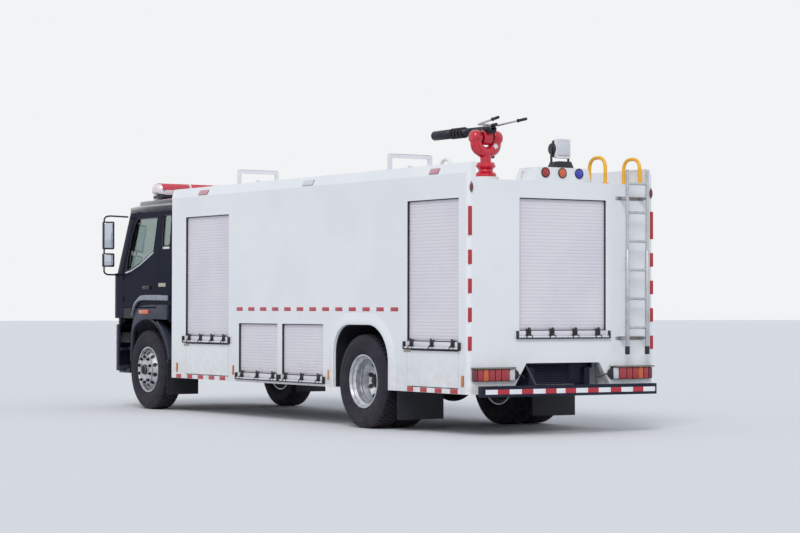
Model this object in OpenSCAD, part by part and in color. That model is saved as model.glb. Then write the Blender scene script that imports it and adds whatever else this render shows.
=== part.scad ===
// Airport fire truck, 4x2, with a roller shutter body, a roof monitor and a short day cab.
// X points forwards, Y to the vehicle's left, Z up. The origin is on the ground,
// midway between the bumpers. All sizes are in millimetres.

/* [Chassis] */
// Front axle ahead of the cab's back wall
cab_axle = 740; // [720:5:760]
// Front axle to the front of the bumper
front_overhang = 1210; // [1180:10:1260]
// Rear axle to the rear wall of the body
body_overhang = 2090; // [2000:10:2200]
// How far the rear bumper stands behind the rear wall
bumper_out = 145; // [130:5:180]
// Underside of the frame rails
rail_z = 700; // [690:5:720]
// Height of the frame rails
rail_h = 280; // [250:5:290]
// Outer width over the frame rails
frame_w = 860; // [820:10:880]
// Width of a rail's flanges
rail_flange = 80; // [70:5:90]
// Thickness of the rails
rail_t = 9; // [7:1:12]

/* [Wheels] */
// Radius of a tyre
tyre_r = 522; // [505:1:530]
// Width of a tyre
tyre_w = 298; // [280:2:304]
// Radius of the rim seat
rim_r = 286; // [280:1:290]
// Centre of a front tyre from the middle of the vehicle
front_track_half = 1000; // [985:5:1010]
// Centre of an outer rear tyre from the middle of the vehicle
rear_track_half = 1078; // [1070:2:1085]
// Distance between the two tyres of a rear pair
dual_pitch = 330; // [322:2:336]
// Steering pivot from the middle of the vehicle
kingpin_half = 850; // [840:5:855]
// Length of the steering arms
steer_arm = 190; // [185:1:192]

/* [Body] */
// Length of the body
body_l = 6805; // [6700:5:6850]
// Width of the body
body_w = 2440; // [2430:5:2480]
// Underside of the body
body_z = 440; // [420:5:460]
// Top of the roof deck
deck_z = 2680; // [2650:5:2750]
// Height of the side walls above the deck
parapet_h = 175; // [150:5:200]
// Thickness of the body walls
wall = 60; // [55:1:70]
// Top of the shutter openings
shutter_top = 2484; // [2450:2:2500]
// Lower edge of the tall shutters
shutter_low = 892; // [880:2:900]
// Top of the low shutters
low_shutter_top = 1148; // [1100:2:1200]
// Height of one shutter slat
slat = 38; // [34:1:44]
// Height of the sill below the low shutters
sill_h = 25; // [20:1:28]
// Height of the sill below the step flaps
flap_sill_h = 52; // [45:1:60]
// Length of the rear wheel arch
arch_l = 1163; // [1160:1:1200]
// Top of the rear wheel arch
arch_top = 1150; // [1140:5:1180]

/* [Cab] */
// Length of the cab
cab_l = 1900; // [1880:5:1920]
// Width of the cab
cab_w = 2340; // [2320:5:2360]
// Gap between the cab and the body
cab_gap = 95; // [85:5:100]
// Top of the cab roof
cab_top = 2740; // [2720:5:2760]
// Underside of the doors
door_z = 1335; // [1330:1:1345]
// Thickness of the cab's walls and doors
cab_wall = 45; // [40:1:50]
// Radius of the cab's front corners in plan
cab_corner_r = 300; // [280:5:320]

/* [Roof equipment] */
// Distance of the monitor from the rear wall
monitor_in = 1450; // [1400:10:1500]
// Height of the monitor's tilt axis above the ground
monitor_z = 3240; // [3220:5:3260]
// Half width of the light bar
light_bar_half = 900; // [850:5:950]

/* [Hidden] */
$fn = 48;

// Small distances
clear = 5;
fit = 0.3;

// Stations along the vehicle
wheelbase = body_l - body_overhang + cab_gap + cab_axle;
overall_l = front_overhang + wheelbase + body_overhang + bumper_out;
front_x = overall_l / 2;
rear_x = -overall_l / 2;
front_axle_x = front_x - front_overhang;
rear_axle_x = front_axle_x - wheelbase;
body_rear_x = rear_x + bumper_out;
body_front_x = body_rear_x + body_l;
cab_back_x = body_front_x + cab_gap;
cab_front_x = cab_back_x + cab_l;
axle_z = tyre_r;

// Levels and half widths
body_half = body_w / 2;
cab_half = cab_w / 2;
rail_half = frame_w / 2;
rail_top = rail_z + rail_h;
floor_z = arch_top;
floor_t = 40;
parapet_z = deck_z + parapet_h;
deck_t = 40;
shoulder_z = parapet_z - 115;
shoulder_in = 55;
parapet_t = 40;
arch_rear_x = rear_axle_x - arch_l / 2 + 14;
arch_front_x = arch_rear_x + arch_l;
locker_in = 620;
locker_t = 20;
sill_z = body_z + sill_h;
flap_sill_z = body_z + flap_sill_h;
bumper_l = 350;
bumper_z = 490;
bumper_h = 620;

// Shapes shared by several pieces

module both() {
    children();
    mirror([0, 1, 0]) children();
}

// A block given by its low and high corners
module block(low, high) {
    translate(low) cube(high - low);
}

// A flat outline in X and Z, from y0 to y1
module plate_xz(y0, y1) {
    translate([0, y1, 0]) rotate([90, 0, 0]) linear_extrude(y1 - y0) children();
}

// A flat outline in Y and Z, from x0 to x1
module plate_yz(x0, x1) {
    translate([x0, 0, 0]) rotate([90, 0, 90]) linear_extrude(x1 - x0) children();
}

// A shape turned about the Y axis, its outline in radius and distance outwards
module turned_y(fine = 72) {
    rotate([-90, 0, 0]) rotate_extrude($fn = fine) children();
}

// A round bar along Y between two distances
module bar_y(r, y0, y1) {
    translate([0, y0, 0]) rotate([-90, 0, 0]) cylinder(r = r, h = y1 - y0);
}

// A round bar along X between two distances
module bar_x(r, x0, x1) {
    translate([x0, 0, 0]) rotate([0, 90, 0]) cylinder(r = r, h = x1 - x0);
}

// A rectangle with round corners, given by its low and high corners
module round_rect(low, high, r) {
    translate([low[0] + r, low[1]]) square([high[0] - low[0] - 2 * r, high[1] - low[1]]);
    translate([low[0], low[1] + r]) square([high[0] - low[0], high[1] - low[1] - 2 * r]);
    for (x = [low[0] + r, high[0] - r], y = [low[1] + r, high[1] - r]) {
        translate([x, y]) circle(r = r);
    }
}

// A round bar between two points
module strut(a, b, r) {
    d = b - a;
    l = norm(d);
    translate(a) rotate([0, acos(d[2] / l), atan2(d[1], d[0])]) cylinder(r = r, h = l);
}

// Chassis frame

cross_x = [body_rear_x + 120, rear_axle_x - 900, rear_axle_x - 60, rear_axle_x + 900,
           rear_axle_x + 2300, front_axle_x - 1400, front_axle_x + 770];
cross_half = 40;
rail_x0 = body_rear_x + wall + clear;
rail_x1 = front_x - bumper_l;
end_plate_x = rail_x0 + 50;
bumper_arm_y = 330;
// Where the cab stands on the rails
cab_post_x = [cab_back_x + 120, front_axle_x + 770];

module frame() {
    color([0.06, 0.07, 0.11]) {
        both() {
            block([rail_x0, rail_half - rail_t, rail_z], [rail_x1, rail_half, rail_top]);
            block([rail_x0, rail_half - rail_flange, rail_z], [rail_x1, rail_half, rail_z + rail_t]);
            block([rail_x0, rail_half - rail_flange, rail_top - rail_t], [rail_x1, rail_half, rail_top]);
            for (x = cab_post_x) {
                block([x - cross_half, rail_half - rail_flange, rail_top],
                      [x + cross_half, rail_half, cab_floor_z]);
            }
        }
        for (x = cross_x) {
            block([x - cross_half, rail_t - rail_half, rail_z + 80],
                  [x + cross_half, rail_half - rail_t, rail_top - 40]);
        }
        // The plate that closes the frame's rear end, seen through the recess of the rear wall
        block([end_plate_x, 1 - bumper_arm_y, recess_low_z],
              [end_plate_x + rail_t, bumper_arm_y - 1, rail_z + 2]);
        block([end_plate_x, rail_t - rail_half - 1, rail_z + 1],
              [end_plate_x + rail_t, rail_half - rail_t + 1, recess_z]);
    }
}

// Engine, gearbox and propeller shaft

engine_x0 = front_axle_x - 300;
engine_x1 = front_axle_x + 700;
engine_half = rail_half - 100;
engine_z = 640;
gearbox_l = 750;
gearbox_x = engine_x0 - gearbox_l;
output_z = 700;
diff_r = 245;
pinion_x = rear_axle_x + diff_r + 45;
pinion_z = axle_z + 40;

module driveline() {
    color([0.22, 0.23, 0.25]) {
        block([engine_x0, -engine_half, engine_z], [engine_x1, engine_half, cab_floor_z - 50]);
        block([gearbox_x, -190, engine_z], [engine_x0, 190, 1000]);
        both() for (x = [engine_x0 + 150, engine_x1 - 250]) {
            block([x, engine_half - 1, 820], [x + 100, rail_half - rail_t, 900]);
        }
        strut([gearbox_x + 10, 0, output_z], [pinion_x + 12, 0, pinion_z], 55);
        translate([pinion_x + fit, 0, pinion_z]) bar_x(80, 0, 30);
    }
}

// Axles with their leaf springs

spring_y = rail_half - rail_flange / 2;
spring_half = 38;
leaf_t = 14;
beam_top = 560;
tube_r = 75;

// Leaves stacked down from their top, the longest one first
module leaf_stack(x, top, leaves, length) {
    for (i = [0 : leaves - 1]) {
        half = (length - i * length * 0.8 / leaves) / 2;
        block([x - half, spring_y - spring_half, top - (i + 1) * leaf_t],
              [x + half, spring_y + spring_half, top - i * leaf_t]);
    }
    for (end = [x - length / 2, x + length / 2 - 70]) {
        block([end, spring_y - spring_half, top], [end + 70, spring_y + spring_half, rail_z]);
    }
}

pin_r = 25;
eye_r = 55;
eye_z0 = 470;
eye_z1 = 574;
ear_t = 40;

module front_axle() {
    // Half of the beam's outline: distance from the middle, height
    beam = [[0, 440], [620, 440], [760, eye_z0], [kingpin_half, eye_z0], [kingpin_half, eye_z1],
            [760, eye_z1], [620, beam_top], [0, beam_top]];
    front_top = rail_z - 30;
    color([0.08, 0.08, 0.10]) translate([front_axle_x, 0, 0]) both() {
        plate_yz(-45, 45) polygon(beam);
        translate([0, kingpin_half, eye_z0]) cylinder(r = eye_r, h = eye_z1 - eye_z0);
        translate([0, kingpin_half, eye_z0 - clear - ear_t])
            cylinder(r = pin_r, h = eye_z1 - eye_z0 + 2 * clear + 2 * ear_t);
        leaf_stack(0, front_top, 7, 1500);
        block([-60, spring_y - spring_half, beam_top - 1],
              [60, spring_y + spring_half, front_top - 7 * leaf_t + 1]);
    }
}

module rear_axle() {
    rear_top = rail_z - 18;
    color([0.08, 0.08, 0.10]) translate([rear_axle_x, 0, 0]) {
        translate([0, 0, axle_z]) {
            bar_y(tube_r, -rear_hub_in, rear_hub_in);
            sphere(r = diff_r);
            translate([0, 0, pinion_z - axle_z]) bar_x(95, 100, diff_r + 45);
            both() bar_y(spindle_r, rear_hub_in - 1, rear_hub_out);
        }
        both() {
            leaf_stack(0, rear_top, 6, 1560);
            block([-60, spring_y - spring_half, axle_z + tube_r - 20],
                  [60, spring_y + spring_half, rear_top - 6 * leaf_t + 1]);
        }
    }
}

// Steering knuckles and tie rod

spindle_r = 45;
spindle_end = front_track_half + 130;
drum_r = 205;
drum_in = 185;
knuckle_y = kingpin_half + eye_r + clear + 2;
knuckle_t = 30;
hub_face = knuckle_y + knuckle_t + clear;
front_drum_y = hub_face - 62;
arm_z = eye_z0 - clear - ear_t;
ball_r = 12;
rod_z = arm_z - 30;

module knuckle() {
    color([0.16, 0.16, 0.18]) translate([front_axle_x, 0, 0]) {
        difference() {
            union() {
                for (z = [arm_z, eye_z1 + clear]) {
                    translate([0, kingpin_half, z]) cylinder(r = eye_r, h = ear_t);
                    block([-eye_r, kingpin_half, z], [eye_r, knuckle_y + 1, z + ear_t]);
                }
                block([-75, knuckle_y, arm_z], [75, knuckle_y + knuckle_t, eye_z1 + clear + ear_t]);
                translate([0, 0, axle_z]) bar_y(spindle_r, knuckle_y + knuckle_t - 1, spindle_end);
                block([-steer_arm, kingpin_half - 22, arm_z], [0, kingpin_half + 22, arm_z + 28]);
                translate([-steer_arm, kingpin_half, arm_z]) cylinder(r = 22, h = 28);
            }
            translate([0, kingpin_half, arm_z - 1]) cylinder(r = pin_r + fit, h = 300);
        }
        translate([-steer_arm, kingpin_half, rod_z]) cylinder(r = ball_r, h = arm_z - rod_z + 1);
    }
}

module knuckle_left() {
    knuckle();
}

module knuckle_right() {
    mirror([0, 1, 0]) knuckle();
}

module tie_rod() {
    eye_h = 20;
    color([0.16, 0.16, 0.18]) translate([front_axle_x - steer_arm, 0, rod_z + 2]) {
        difference() {
            union() {
                both() translate([0, kingpin_half, 0]) cylinder(r = 25, h = eye_h);
                translate([0, 0, eye_h / 2]) bar_y(9, -kingpin_half + 20, kingpin_half - 20);
            }
            both() translate([0, kingpin_half, -1]) cylinder(r = ball_r + fit, h = eye_h + 2);
        }
    }
}

// Wheels. Outlines are in radius and distance outwards from the tyre's middle

disc_out = dual_pitch / 2;
flange_r = rim_r + 12;
seat_half = tyre_w / 2 - 33;
rear_inner_half = rear_track_half - dual_pitch;
rear_hub_in = rear_inner_half - 40;
rear_hub_out = rear_track_half - 60;
drum_w = 150;

module tyre_form() {
    h = tyre_w / 2;
    half = [[rim_r, seat_half], [flange_r + 1, seat_half + 1], [rim_r + 45, h - 12], [rim_r + 90, h - 2],
            [tyre_r - 105, h], [tyre_r - 50, h - 8], [tyre_r - 18, h - 20], [tyre_r - 6, h - 32],
            [tyre_r, h - 48]];
    other = [for (i = [len(half) - 1 : -1 : 0]) [half[i][0], -half[i][1]]];
    turned_y(96) polygon(concat(half, other));
}

module rim_form() {
    seat = rim_r - fit;
    edge = seat_half + 1 + fit;
    // The barrel with its drop centre, then the domed disc
    barrel = [[flange_r, edge + 10], [flange_r, edge], [seat, edge], [seat, 62], [262, 36], [262, -64],
              [seat, -88], [seat, -edge], [flange_r, -edge], [flange_r, -edge - 10], [rim_r - 2, -edge - 10],
              [rim_r - 12, -edge + 12], [rim_r - 12, -94], [250, -70], [250, 40], [rim_r - 12, 68],
              [rim_r - 12, edge - 12], [rim_r - 2, edge + 10]];
    disc = [[256, -10], [256, 20], [232, 92], [172, disc_out - 6], [160, disc_out], [60, disc_out],
            [60, disc_out - 14], [152, disc_out - 14], [163, disc_out - 20], [220, 84], [242, 12],
            [242, -10]];
    turned_y(96) polygon(barrel);
    difference() {
        turned_y(96) polygon(disc);
        for (a = [0 : 36 : 324]) {
            rotate([0, a, 0]) translate([0, 0, 206]) bar_y(24, 60, disc_out);
        }
    }
}

module tyre_front_left() {
    color([0.05, 0.05, 0.05]) translate([front_axle_x, front_track_half, axle_z]) tyre_form();
}

module tyre_front_right() {
    mirror([0, 1, 0]) tyre_front_left();
}

module tyre_rear_left() {
    color([0.05, 0.05, 0.05]) translate([rear_axle_x, 0, axle_z]) {
        for (y = [rear_track_half, rear_inner_half]) {
            translate([0, y, 0]) tyre_form();
        }
    }
}

module tyre_rear_right() {
    mirror([0, 1, 0]) tyre_rear_left();
}

module rim_front_left() {
    bore_end = spindle_end + 1;
    // The hub, its brake drum and cap: radius, distance from the middle of the vehicle
    hub = [[spindle_r + fit, hub_face], [drum_in, hub_face], [drum_in, front_drum_y],
           [drum_r, front_drum_y], [drum_r, hub_face + 18], [110, hub_face + 30],
           [90, front_track_half + disc_out - 14], [61, front_track_half + disc_out - 14],
           [61, front_track_half + disc_out + 32], [0, front_track_half + disc_out + 32], [0, bore_end],
           [spindle_r + fit, bore_end]];
    color([0.72, 0.73, 0.75]) translate([front_axle_x, 0, axle_z]) {
        translate([0, front_track_half, 0]) rim_form();
        turned_y(72) polygon(hub);
    }
}

module rim_front_right() {
    mirror([0, 1, 0]) rim_front_left();
}

module rim_rear_left() {
    plane = rear_track_half - disc_out;
    hub = [[spindle_r + fit, rear_hub_in + clear], [drum_in - 30, rear_hub_in + clear],
           [drum_in, rear_hub_in + 20], [drum_in, rear_hub_in - 60], [drum_r, rear_hub_in - 60],
           [drum_r, rear_hub_in + 60], [110, plane - 50], [70, plane - 14], [70, plane + 110],
           [60, plane + 118], [0, plane + 118], [0, rear_hub_out + 1], [spindle_r + fit, rear_hub_out + 1]];
    color([0.72, 0.73, 0.75]) translate([rear_axle_x, 0, axle_z]) {
        translate([0, rear_inner_half, 0]) rim_form();
        translate([0, rear_track_half, 0]) mirror([0, 1, 0]) rim_form();
        turned_y(72) polygon(hub);
    }
}

module rim_rear_right() {
    mirror([0, 1, 0]) rim_rear_left();
}

// Fuel tank on the left, air tanks and silencer on the right

module chassis_tanks() {
    color([0.45, 0.46, 0.48]) {
        plate_yz(arch_front_x + 1500, arch_front_x + 2600)
            round_rect([rail_half + fit, 480], [locker_in - clear, 900], 40);
        mirror([0, 1, 0]) plate_yz(arch_front_x + 2300, arch_front_x + 3000)
            round_rect([rail_half + fit, 520], [locker_in - clear, 860], 70);
        for (x = [arch_front_x + 300, arch_front_x + 1050]) {
            translate([x, -rail_half - 85 - fit, 800]) bar_x(85, 0, 650);
        }
    }
}

// Body

// Side openings. Columns: rear edge and front edge from the rear wall, lower edge, top, catches.
// The low ones share the length between the wheel arch and the front one.
front_tall = [body_l - 1581, body_l - 427, flap_sill_z, shutter_top, 4];
rear_tall = [176, 1168, flap_sill_z, shutter_top, 3];
low_post = 110;
low_from = arch_front_x - body_rear_x + 254;
low_to = front_tall[0] - 262;
low_l = (low_to - low_from - low_post) / 2;
side_openings = [
    front_tall,
    [low_to - low_l, low_to, sill_z, low_shutter_top, 3],
    [low_from, low_from + low_l, sill_z, low_shutter_top, 3],
    rear_tall
];
rear_open_half = 570;
rear_open_low = 1012;
rear_open_top = 2496;
recess_z = 758;
recess_half = 480;
recess_low_half = 620;
recess_low_z = 530;

// The rear shoulder of the wheel arch is rounder than its front one
arch_rear_r = 420;
arch_front_r = 320;

module arch_outline(grow) {
    low = body_z - 200;
    x0 = arch_rear_x - grow;
    x1 = arch_front_x + grow;
    top = arch_top + grow;
    r0 = arch_rear_r + grow;
    r1 = arch_front_r + grow;
    translate([x0, low]) square([x1 - x0, top - r0 - low]);
    translate([x0 + r0, low]) square([x1 - r1 - x0 - r0, top - low]);
    translate([x1 - r1 - 1, low]) square([r1 + 1, top - r1 - low]);
    translate([x0 + r0, top - r0]) circle(r = r0, $fn = 96);
    translate([x1 - r1, top - r1]) circle(r = r1, $fn = 96);
}

// Steps of the arch's lip: width, how far it stands out
arch_lip = [[105, 8], [50, 18]];

module body_floor() {
    color([0.30, 0.31, 0.33]) {
        block([body_rear_x + wall, wall - body_half, floor_z],
              [body_front_x - wall, body_half - wall, floor_z + floor_t]);
        both() block([body_rear_x + wall, rail_half - rail_flange, rail_top],
                     [body_front_x - wall, rail_half, rail_top + 70]);
        for (x = [body_rear_x + 200 : 640 : body_front_x - 200]) {
            block([x - 35, -locker_in + clear, rail_top + 70], [x + 35, locker_in - clear, floor_z]);
        }
    }
}

module body_side() {
    inner = body_half - wall;
    top_y = body_half - shoulder_in;
    // The wall's section: distance from the middle, height
    section = [[inner, body_z], [body_half, body_z], [body_half, shoulder_z], [top_y, parapet_z],
               [top_y - parapet_t, parapet_z], [top_y - parapet_t, deck_z - deck_t],
               [inner, deck_z - deck_t]];
    corner_r = 50;
    color([0.86, 0.87, 0.89]) difference() {
        union() {
            difference() {
                plate_yz(body_rear_x, body_front_x) polygon(section);
                for (o = side_openings) {
                    block([body_rear_x + o[0], inner - 1, o[2]], [body_rear_x + o[1], body_half + 1, o[3]]);
                }
                plate_xz(inner - 1, body_half + 1) arch_outline(0);
            }
            // The raised lip of the wheel arch, in two steps
            difference() {
                for (step = arch_lip) {
                    plate_xz(body_half - 5, body_half + step[1]) arch_outline(step[0]);
                }
                plate_xz(body_half - 6, body_half + 19) arch_outline(0);
                block([arch_rear_x - 400, 0, body_z - 1000], [arch_front_x + 400, body_half + 100, body_z]);
            }
            // Trays of the lower lockers, ahead of and behind the arch
            for (run = [[body_rear_x + wall, arch_rear_x - 30], [arch_front_x + 30, body_front_x]]) {
                block([run[0], locker_in, body_z], [run[1], inner + 1, body_z + locker_t]);
                block([run[0], locker_in, body_z], [run[1], locker_in + locker_t, floor_z]);
                block([run[0], locker_in, body_z], [run[0] + locker_t, inner + 1, floor_z]);
                block([run[1] - locker_t, locker_in, body_z], [run[1], inner + 1, floor_z]);
            }
            plate_yz(body_rear_x, body_rear_x + wall)
                polygon([[recess_low_half, body_z], [inner + 1, body_z], [inner + 1, recess_z],
                         [recess_half, recess_z], [recess_low_half, recess_low_z]]);
        }
        translate([body_rear_x, body_half, 0]) mirror([0, 1, 0]) vertical_round(corner_r, parapet_z);
        translate([body_front_x, body_half, 0]) mirror([1, 0, 0]) mirror([0, 1, 0])
            vertical_round(corner_r, parapet_z);
    }
}

// What a rounded vertical corner at the origin removes
module vertical_round(r, top) {
    difference() {
        block([-1, -1, body_z - 1], [r, r, top + 1]);
        translate([r, r, body_z - 2]) cylinder(r = r, h = top + 10);
    }
}

module body_side_left() {
    body_side();
}

module body_side_right() {
    mirror([0, 1, 0]) body_side();
}

module body_ends() {
    inner = body_half - wall;
    upper = body_half - shoulder_in - parapet_t;
    front_wall = [[-inner, floor_z], [inner, floor_z], [inner, deck_z - deck_t],
                  [upper, deck_z - deck_t], [upper, parapet_z], [-upper, parapet_z],
                  [-upper, deck_z - deck_t], [-inner, deck_z - deck_t]];
    rear_wall = [[-inner, recess_z], [inner, recess_z], [inner, deck_z - deck_t], [upper, deck_z - deck_t],
                 [upper, deck_z], [-upper, deck_z], [-upper, deck_z - deck_t], [-inner, deck_z - deck_t]];
    color([0.86, 0.87, 0.89]) {
        plate_yz(body_front_x - wall, body_front_x) polygon(front_wall);
        difference() {
            plate_yz(body_rear_x, body_rear_x + wall) polygon(rear_wall);
            block([body_rear_x - 1, -rear_open_half, rear_open_low],
                  [body_rear_x + wall + 1, rear_open_half, rear_open_top]);
        }
    }
}

hatch_x = body_rear_x + 3300;
hatch_r = 250;
hatch_neck_top = deck_z + 80;
hump_half = 370;
hump_top = 2830;
hump_l = 382;
hump_top_l = 336;
pad_top = deck_z + 120;
pad_r = 150;
monitor_x = body_rear_x + monitor_in;
light_x = body_rear_x + 165;
light_y = -90;

module roof_deck() {
    upper = body_half - shoulder_in - parapet_t;
    hump = [[-hump_half, deck_z], [hump_half, deck_z], [hump_half - 40, hump_top],
            [40 - hump_half, hump_top]];
    color([0.86, 0.87, 0.89]) {
        block([body_rear_x + wall, -upper, deck_z - deck_t], [body_front_x - wall, upper, deck_z]);
        // The lamp hump: its front end slopes, and a slot crosses each of its sides
        difference() {
            intersection() {
                plate_yz(body_rear_x, body_rear_x + hump_l) polygon(hump);
                plate_xz(-hump_half, hump_half) polygon([
                    [body_rear_x, deck_z], [body_rear_x + hump_l, deck_z],
                    [body_rear_x + hump_top_l, hump_top], [body_rear_x, hump_top]
                ]);
            }
            both() block([body_rear_x + 240, hump_half - 45, deck_z + 15],
                         [body_rear_x + 282, hump_half + 1, hump_top - 40]);
        }
        translate([monitor_x, 0, deck_z - 1]) cylinder(r = pad_r, h = pad_top - deck_z + 1);
        // Gooseneck vent of the tank
        translate([body_rear_x + 1350, 600, 0]) hoop(-100, 100, 0, deck_z - 1, deck_z + 290, 20, 99);
    }
}

hatch_hinge_x = hatch_x + hatch_r + 40;
hatch_hinge_z = hatch_neck_top + 12;
hatch_pin_r = 8;

module hatch_neck() {
    color([0.86, 0.87, 0.89]) {
        difference() {
            translate([hatch_x, 0, deck_z]) cylinder(r = hatch_r, h = hatch_neck_top - deck_z);
            translate([hatch_x, 0, deck_z - 1]) cylinder(r = hatch_r - 20, h = 400);
        }
        for (y = [-70, 50]) {
            difference() {
                block([hatch_x + hatch_r - 12, y, deck_z],
                      [hatch_hinge_x + 16, y + 20, hatch_hinge_z + 16]);
                translate([hatch_x, 0, hatch_neck_top - 5]) cylinder(r = hatch_r + 20, h = 60);
            }
        }
        translate([hatch_hinge_x, 0, hatch_hinge_z]) bar_y(hatch_pin_r, -60, 60);
    }
}

module hatch_lid() {
    color([0.88, 0.88, 0.90]) difference() {
        union() {
            translate([hatch_x, 0, hatch_neck_top + fit]) cylinder(r = hatch_r + 12, h = 22);
            translate([hatch_x, 0, hatch_neck_top + 20]) cylinder(r = hatch_r - 60, h = 30);
            block([hatch_x + hatch_r - 20, -40, hatch_neck_top + 8],
                  [hatch_hinge_x, 40, hatch_neck_top + 22]);
            translate([hatch_hinge_x, 0, hatch_hinge_z]) bar_y(hatch_pin_r + 7, -40, 40);
        }
        translate([hatch_hinge_x, 0, hatch_hinge_z]) bar_y(hatch_pin_r + fit, -41, 41);
    }
}

// Roller shutters: an outline with a groove under each slat

module shutter_form(length, low, top, face) {
    rows = ceil((top - low) / slat);
    groove = [for (i = [0 : rows - 1]) each [
        [face - 6, low + i * slat],
        [face, low + i * slat + 5],
        [face, min(top, low + (i + 1) * slat - 3)]
    ]];
    outline = concat([for (p = groove) if (p[1] <= top) p],
                     [[face - 6, top], [face - 22, top], [face - 22, low]]);
    plate_yz(0, length) polygon(outline);
}

module shutters() {
    face = body_half - 28;
    color([0.80, 0.81, 0.84]) {
        for (o = side_openings) {
            low = o[3] > low_shutter_top ? shutter_low : sill_z;
            both() translate([body_rear_x + o[0], 0, 0])
                shutter_form(o[1] - o[0], low, o[3], face);
        }
        translate([body_rear_x, 0, 0]) rotate([0, 0, -90]) mirror([0, 1, 0])
            translate([-rear_open_half, 0, 0])
                shutter_form(2 * rear_open_half, rear_open_low, rear_open_top, -28);
    }
}

bar_h = 94;
rail_r = 13;
catch_half = 26;

module shutter_bars() {
    color([0.55, 0.56, 0.58]) {
        for (o = side_openings) {
            low = o[3] > low_shutter_top ? shutter_low : sill_z;
            both() translate([body_rear_x + o[0], body_half, low]) bar_form(o[1] - o[0], o[4]);
        }
        translate([body_rear_x, 0, rear_open_low]) rotate([0, 0, 90]) translate([-rear_open_half, 0, 0])
            bar_form(2 * rear_open_half, 4);
    }
}

// A lift bar along X, outwards along Y: its slat, the round rail below it and the catches
module bar_form(length, catches) {
    block([0, -28, 1], [length, -14, bar_h]);
    block([0, -15, 1], [length, -6, 8]);
    block([0, -28, 1], [30, 0, bar_h - 12]);
    block([length - 30, -28, 1], [length, 0, bar_h - 12]);
    translate([0, -3, 20]) bar_x(rail_r, 29, length - 29);
    for (i = [0 : catches - 1]) {
        x = length * (0.1 + 0.8 * i / (catches - 1));
        block([x - catch_half, -20, 34], [x + catch_half, 6, bar_h + 4]);
        for (foot = [x - catch_half - 6, x + catch_half - 6]) {
            block([foot, -20, 6], [foot + 12, 9, 40]);
        }
    }
}

// Fold-down step flaps

flap_top = shutter_low - 10;
flap_t = 24;
flap_axis_y = body_half - flap_t / 2;
flap_axis_z = flap_sill_z + 18;
flap_pin_r = 9;

module flap(opening) {
    x0 = body_rear_x + opening[0];
    x1 = body_rear_x + opening[1];
    color([0.86, 0.87, 0.89]) {
        block([x0 + clear + 1, body_half - flap_t, flap_axis_z - clear],
              [x1 - clear - 1, body_half, flap_top]);
        translate([0, flap_axis_y, flap_axis_z]) bar_x(flap_pin_r, x0 + fit, x1 - fit);
    }
}

module flap_front_left() {
    flap(front_tall);
}

module flap_front_right() {
    mirror([0, 1, 0]) flap(front_tall);
}

module flap_rear_left() {
    flap(rear_tall);
}

module flap_rear_right() {
    mirror([0, 1, 0]) flap(rear_tall);
}

// Roof racks, grab hoops and ladder

ladder_out = 120;
ladder_y = [450 - body_half, 180 - body_half];
ladder_r = 18;
hoop_r = 16;
hoop_y = [630 - body_half, 160 - body_half];

// An inverted U of round tube along X, its corners bent to radius bend
module hoop(x0, x1, y, low, top, r, bend) {
    translate([0, y, 0]) {
        for (x = [x0, x1]) translate([x, 0, low]) cylinder(r = r, h = top - low - bend);
        translate([x0 + bend, 0, top - bend]) rotate([90, 0, 0]) rotate([0, 0, 90])
            rotate_extrude(angle = 90) translate([bend, 0]) circle(r = r);
        translate([x1 - bend, 0, top - bend]) rotate([90, 0, 0])
            rotate_extrude(angle = 90) translate([bend, 0]) circle(r = r);
        translate([0, 0, top]) bar_x(r, x0 + bend, x1 - bend);
    }
}

rack_y = 430;
rack_w = 570;
rack_t = 40;
rack_top = parapet_z + 190;
rack_at = [body_rear_x + 1900, body_rear_x + 5400];

// Each rack is an inverted U of box section across the vehicle, with a short middle post
module roof_racks() {
    mid = rack_y + rack_w / 2 - rack_t / 2;
    color([0.90, 0.90, 0.91]) for (x = rack_at) {
        block([x - rack_t / 2, rack_y, rack_top - rack_t], [x + rack_t / 2, rack_y + rack_w, rack_top]);
        for (y = [rack_y, rack_y + rack_w - rack_t]) {
            block([x - rack_t / 2, y, deck_z], [x + rack_t / 2, y + rack_t, rack_top - rack_t + 1]);
        }
        block([x - rack_t / 2, mid, deck_z], [x + rack_t / 2, mid + rack_t, rack_top - 120]);
    }
}

module grab_hoops() {
    color([0.85, 0.65, 0.10]) for (y = hoop_y) {
        hoop(body_rear_x + 20, body_rear_x + 380, y, deck_z, deck_z + 290, hoop_r, 110);
    }
}

ladder_x = body_rear_x - ladder_out;
ladder_low = 840;
ladder_top = 2830;
ladder_bracket_z = [1000, 2510];
rung_pitch = 310;
rung_z = [for (i = [0 : 5]) 1130 + i * rung_pitch];

module ladder() {
    color([0.62, 0.62, 0.63]) {
        for (y = ladder_y) {
            translate([ladder_x, y, ladder_low]) cylinder(r = ladder_r, h = ladder_top - ladder_low);
            for (z = ladder_bracket_z) block([ladder_x, y - 15, z], [body_rear_x, y + 15, z + 30]);
        }
        for (z = ladder_bracket_z) {
            block([body_rear_x - 6, ladder_y[1] - 40, z - 2], [body_rear_x, ladder_y[0] + 70, z + 32]);
        }
        for (z = rung_z) translate([ladder_x, 0, z]) bar_y(12, ladder_y[1], ladder_y[0]);
    }
}

// Lamps

roof_lamp_r = 50;
tail_outer = body_half - 40;
tail_inner = body_half - 610;
// Side markers: middle from the rear wall, width
markers = [[front_tall[1] + 232, 32], [low_to + 138, 32], [low_from - 124, 30], [99, 42]];
marker_z = [520, 632];
// Lamps on the slanted roof edge: rear end and front end from the rear wall
edge_lamps = [[front_tall[0] + 586, front_tall[0] + 826], [3200, 3430], [575, 750]];
shoulder_lean = atan2(shoulder_in, parapet_z - shoulder_z);

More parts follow.
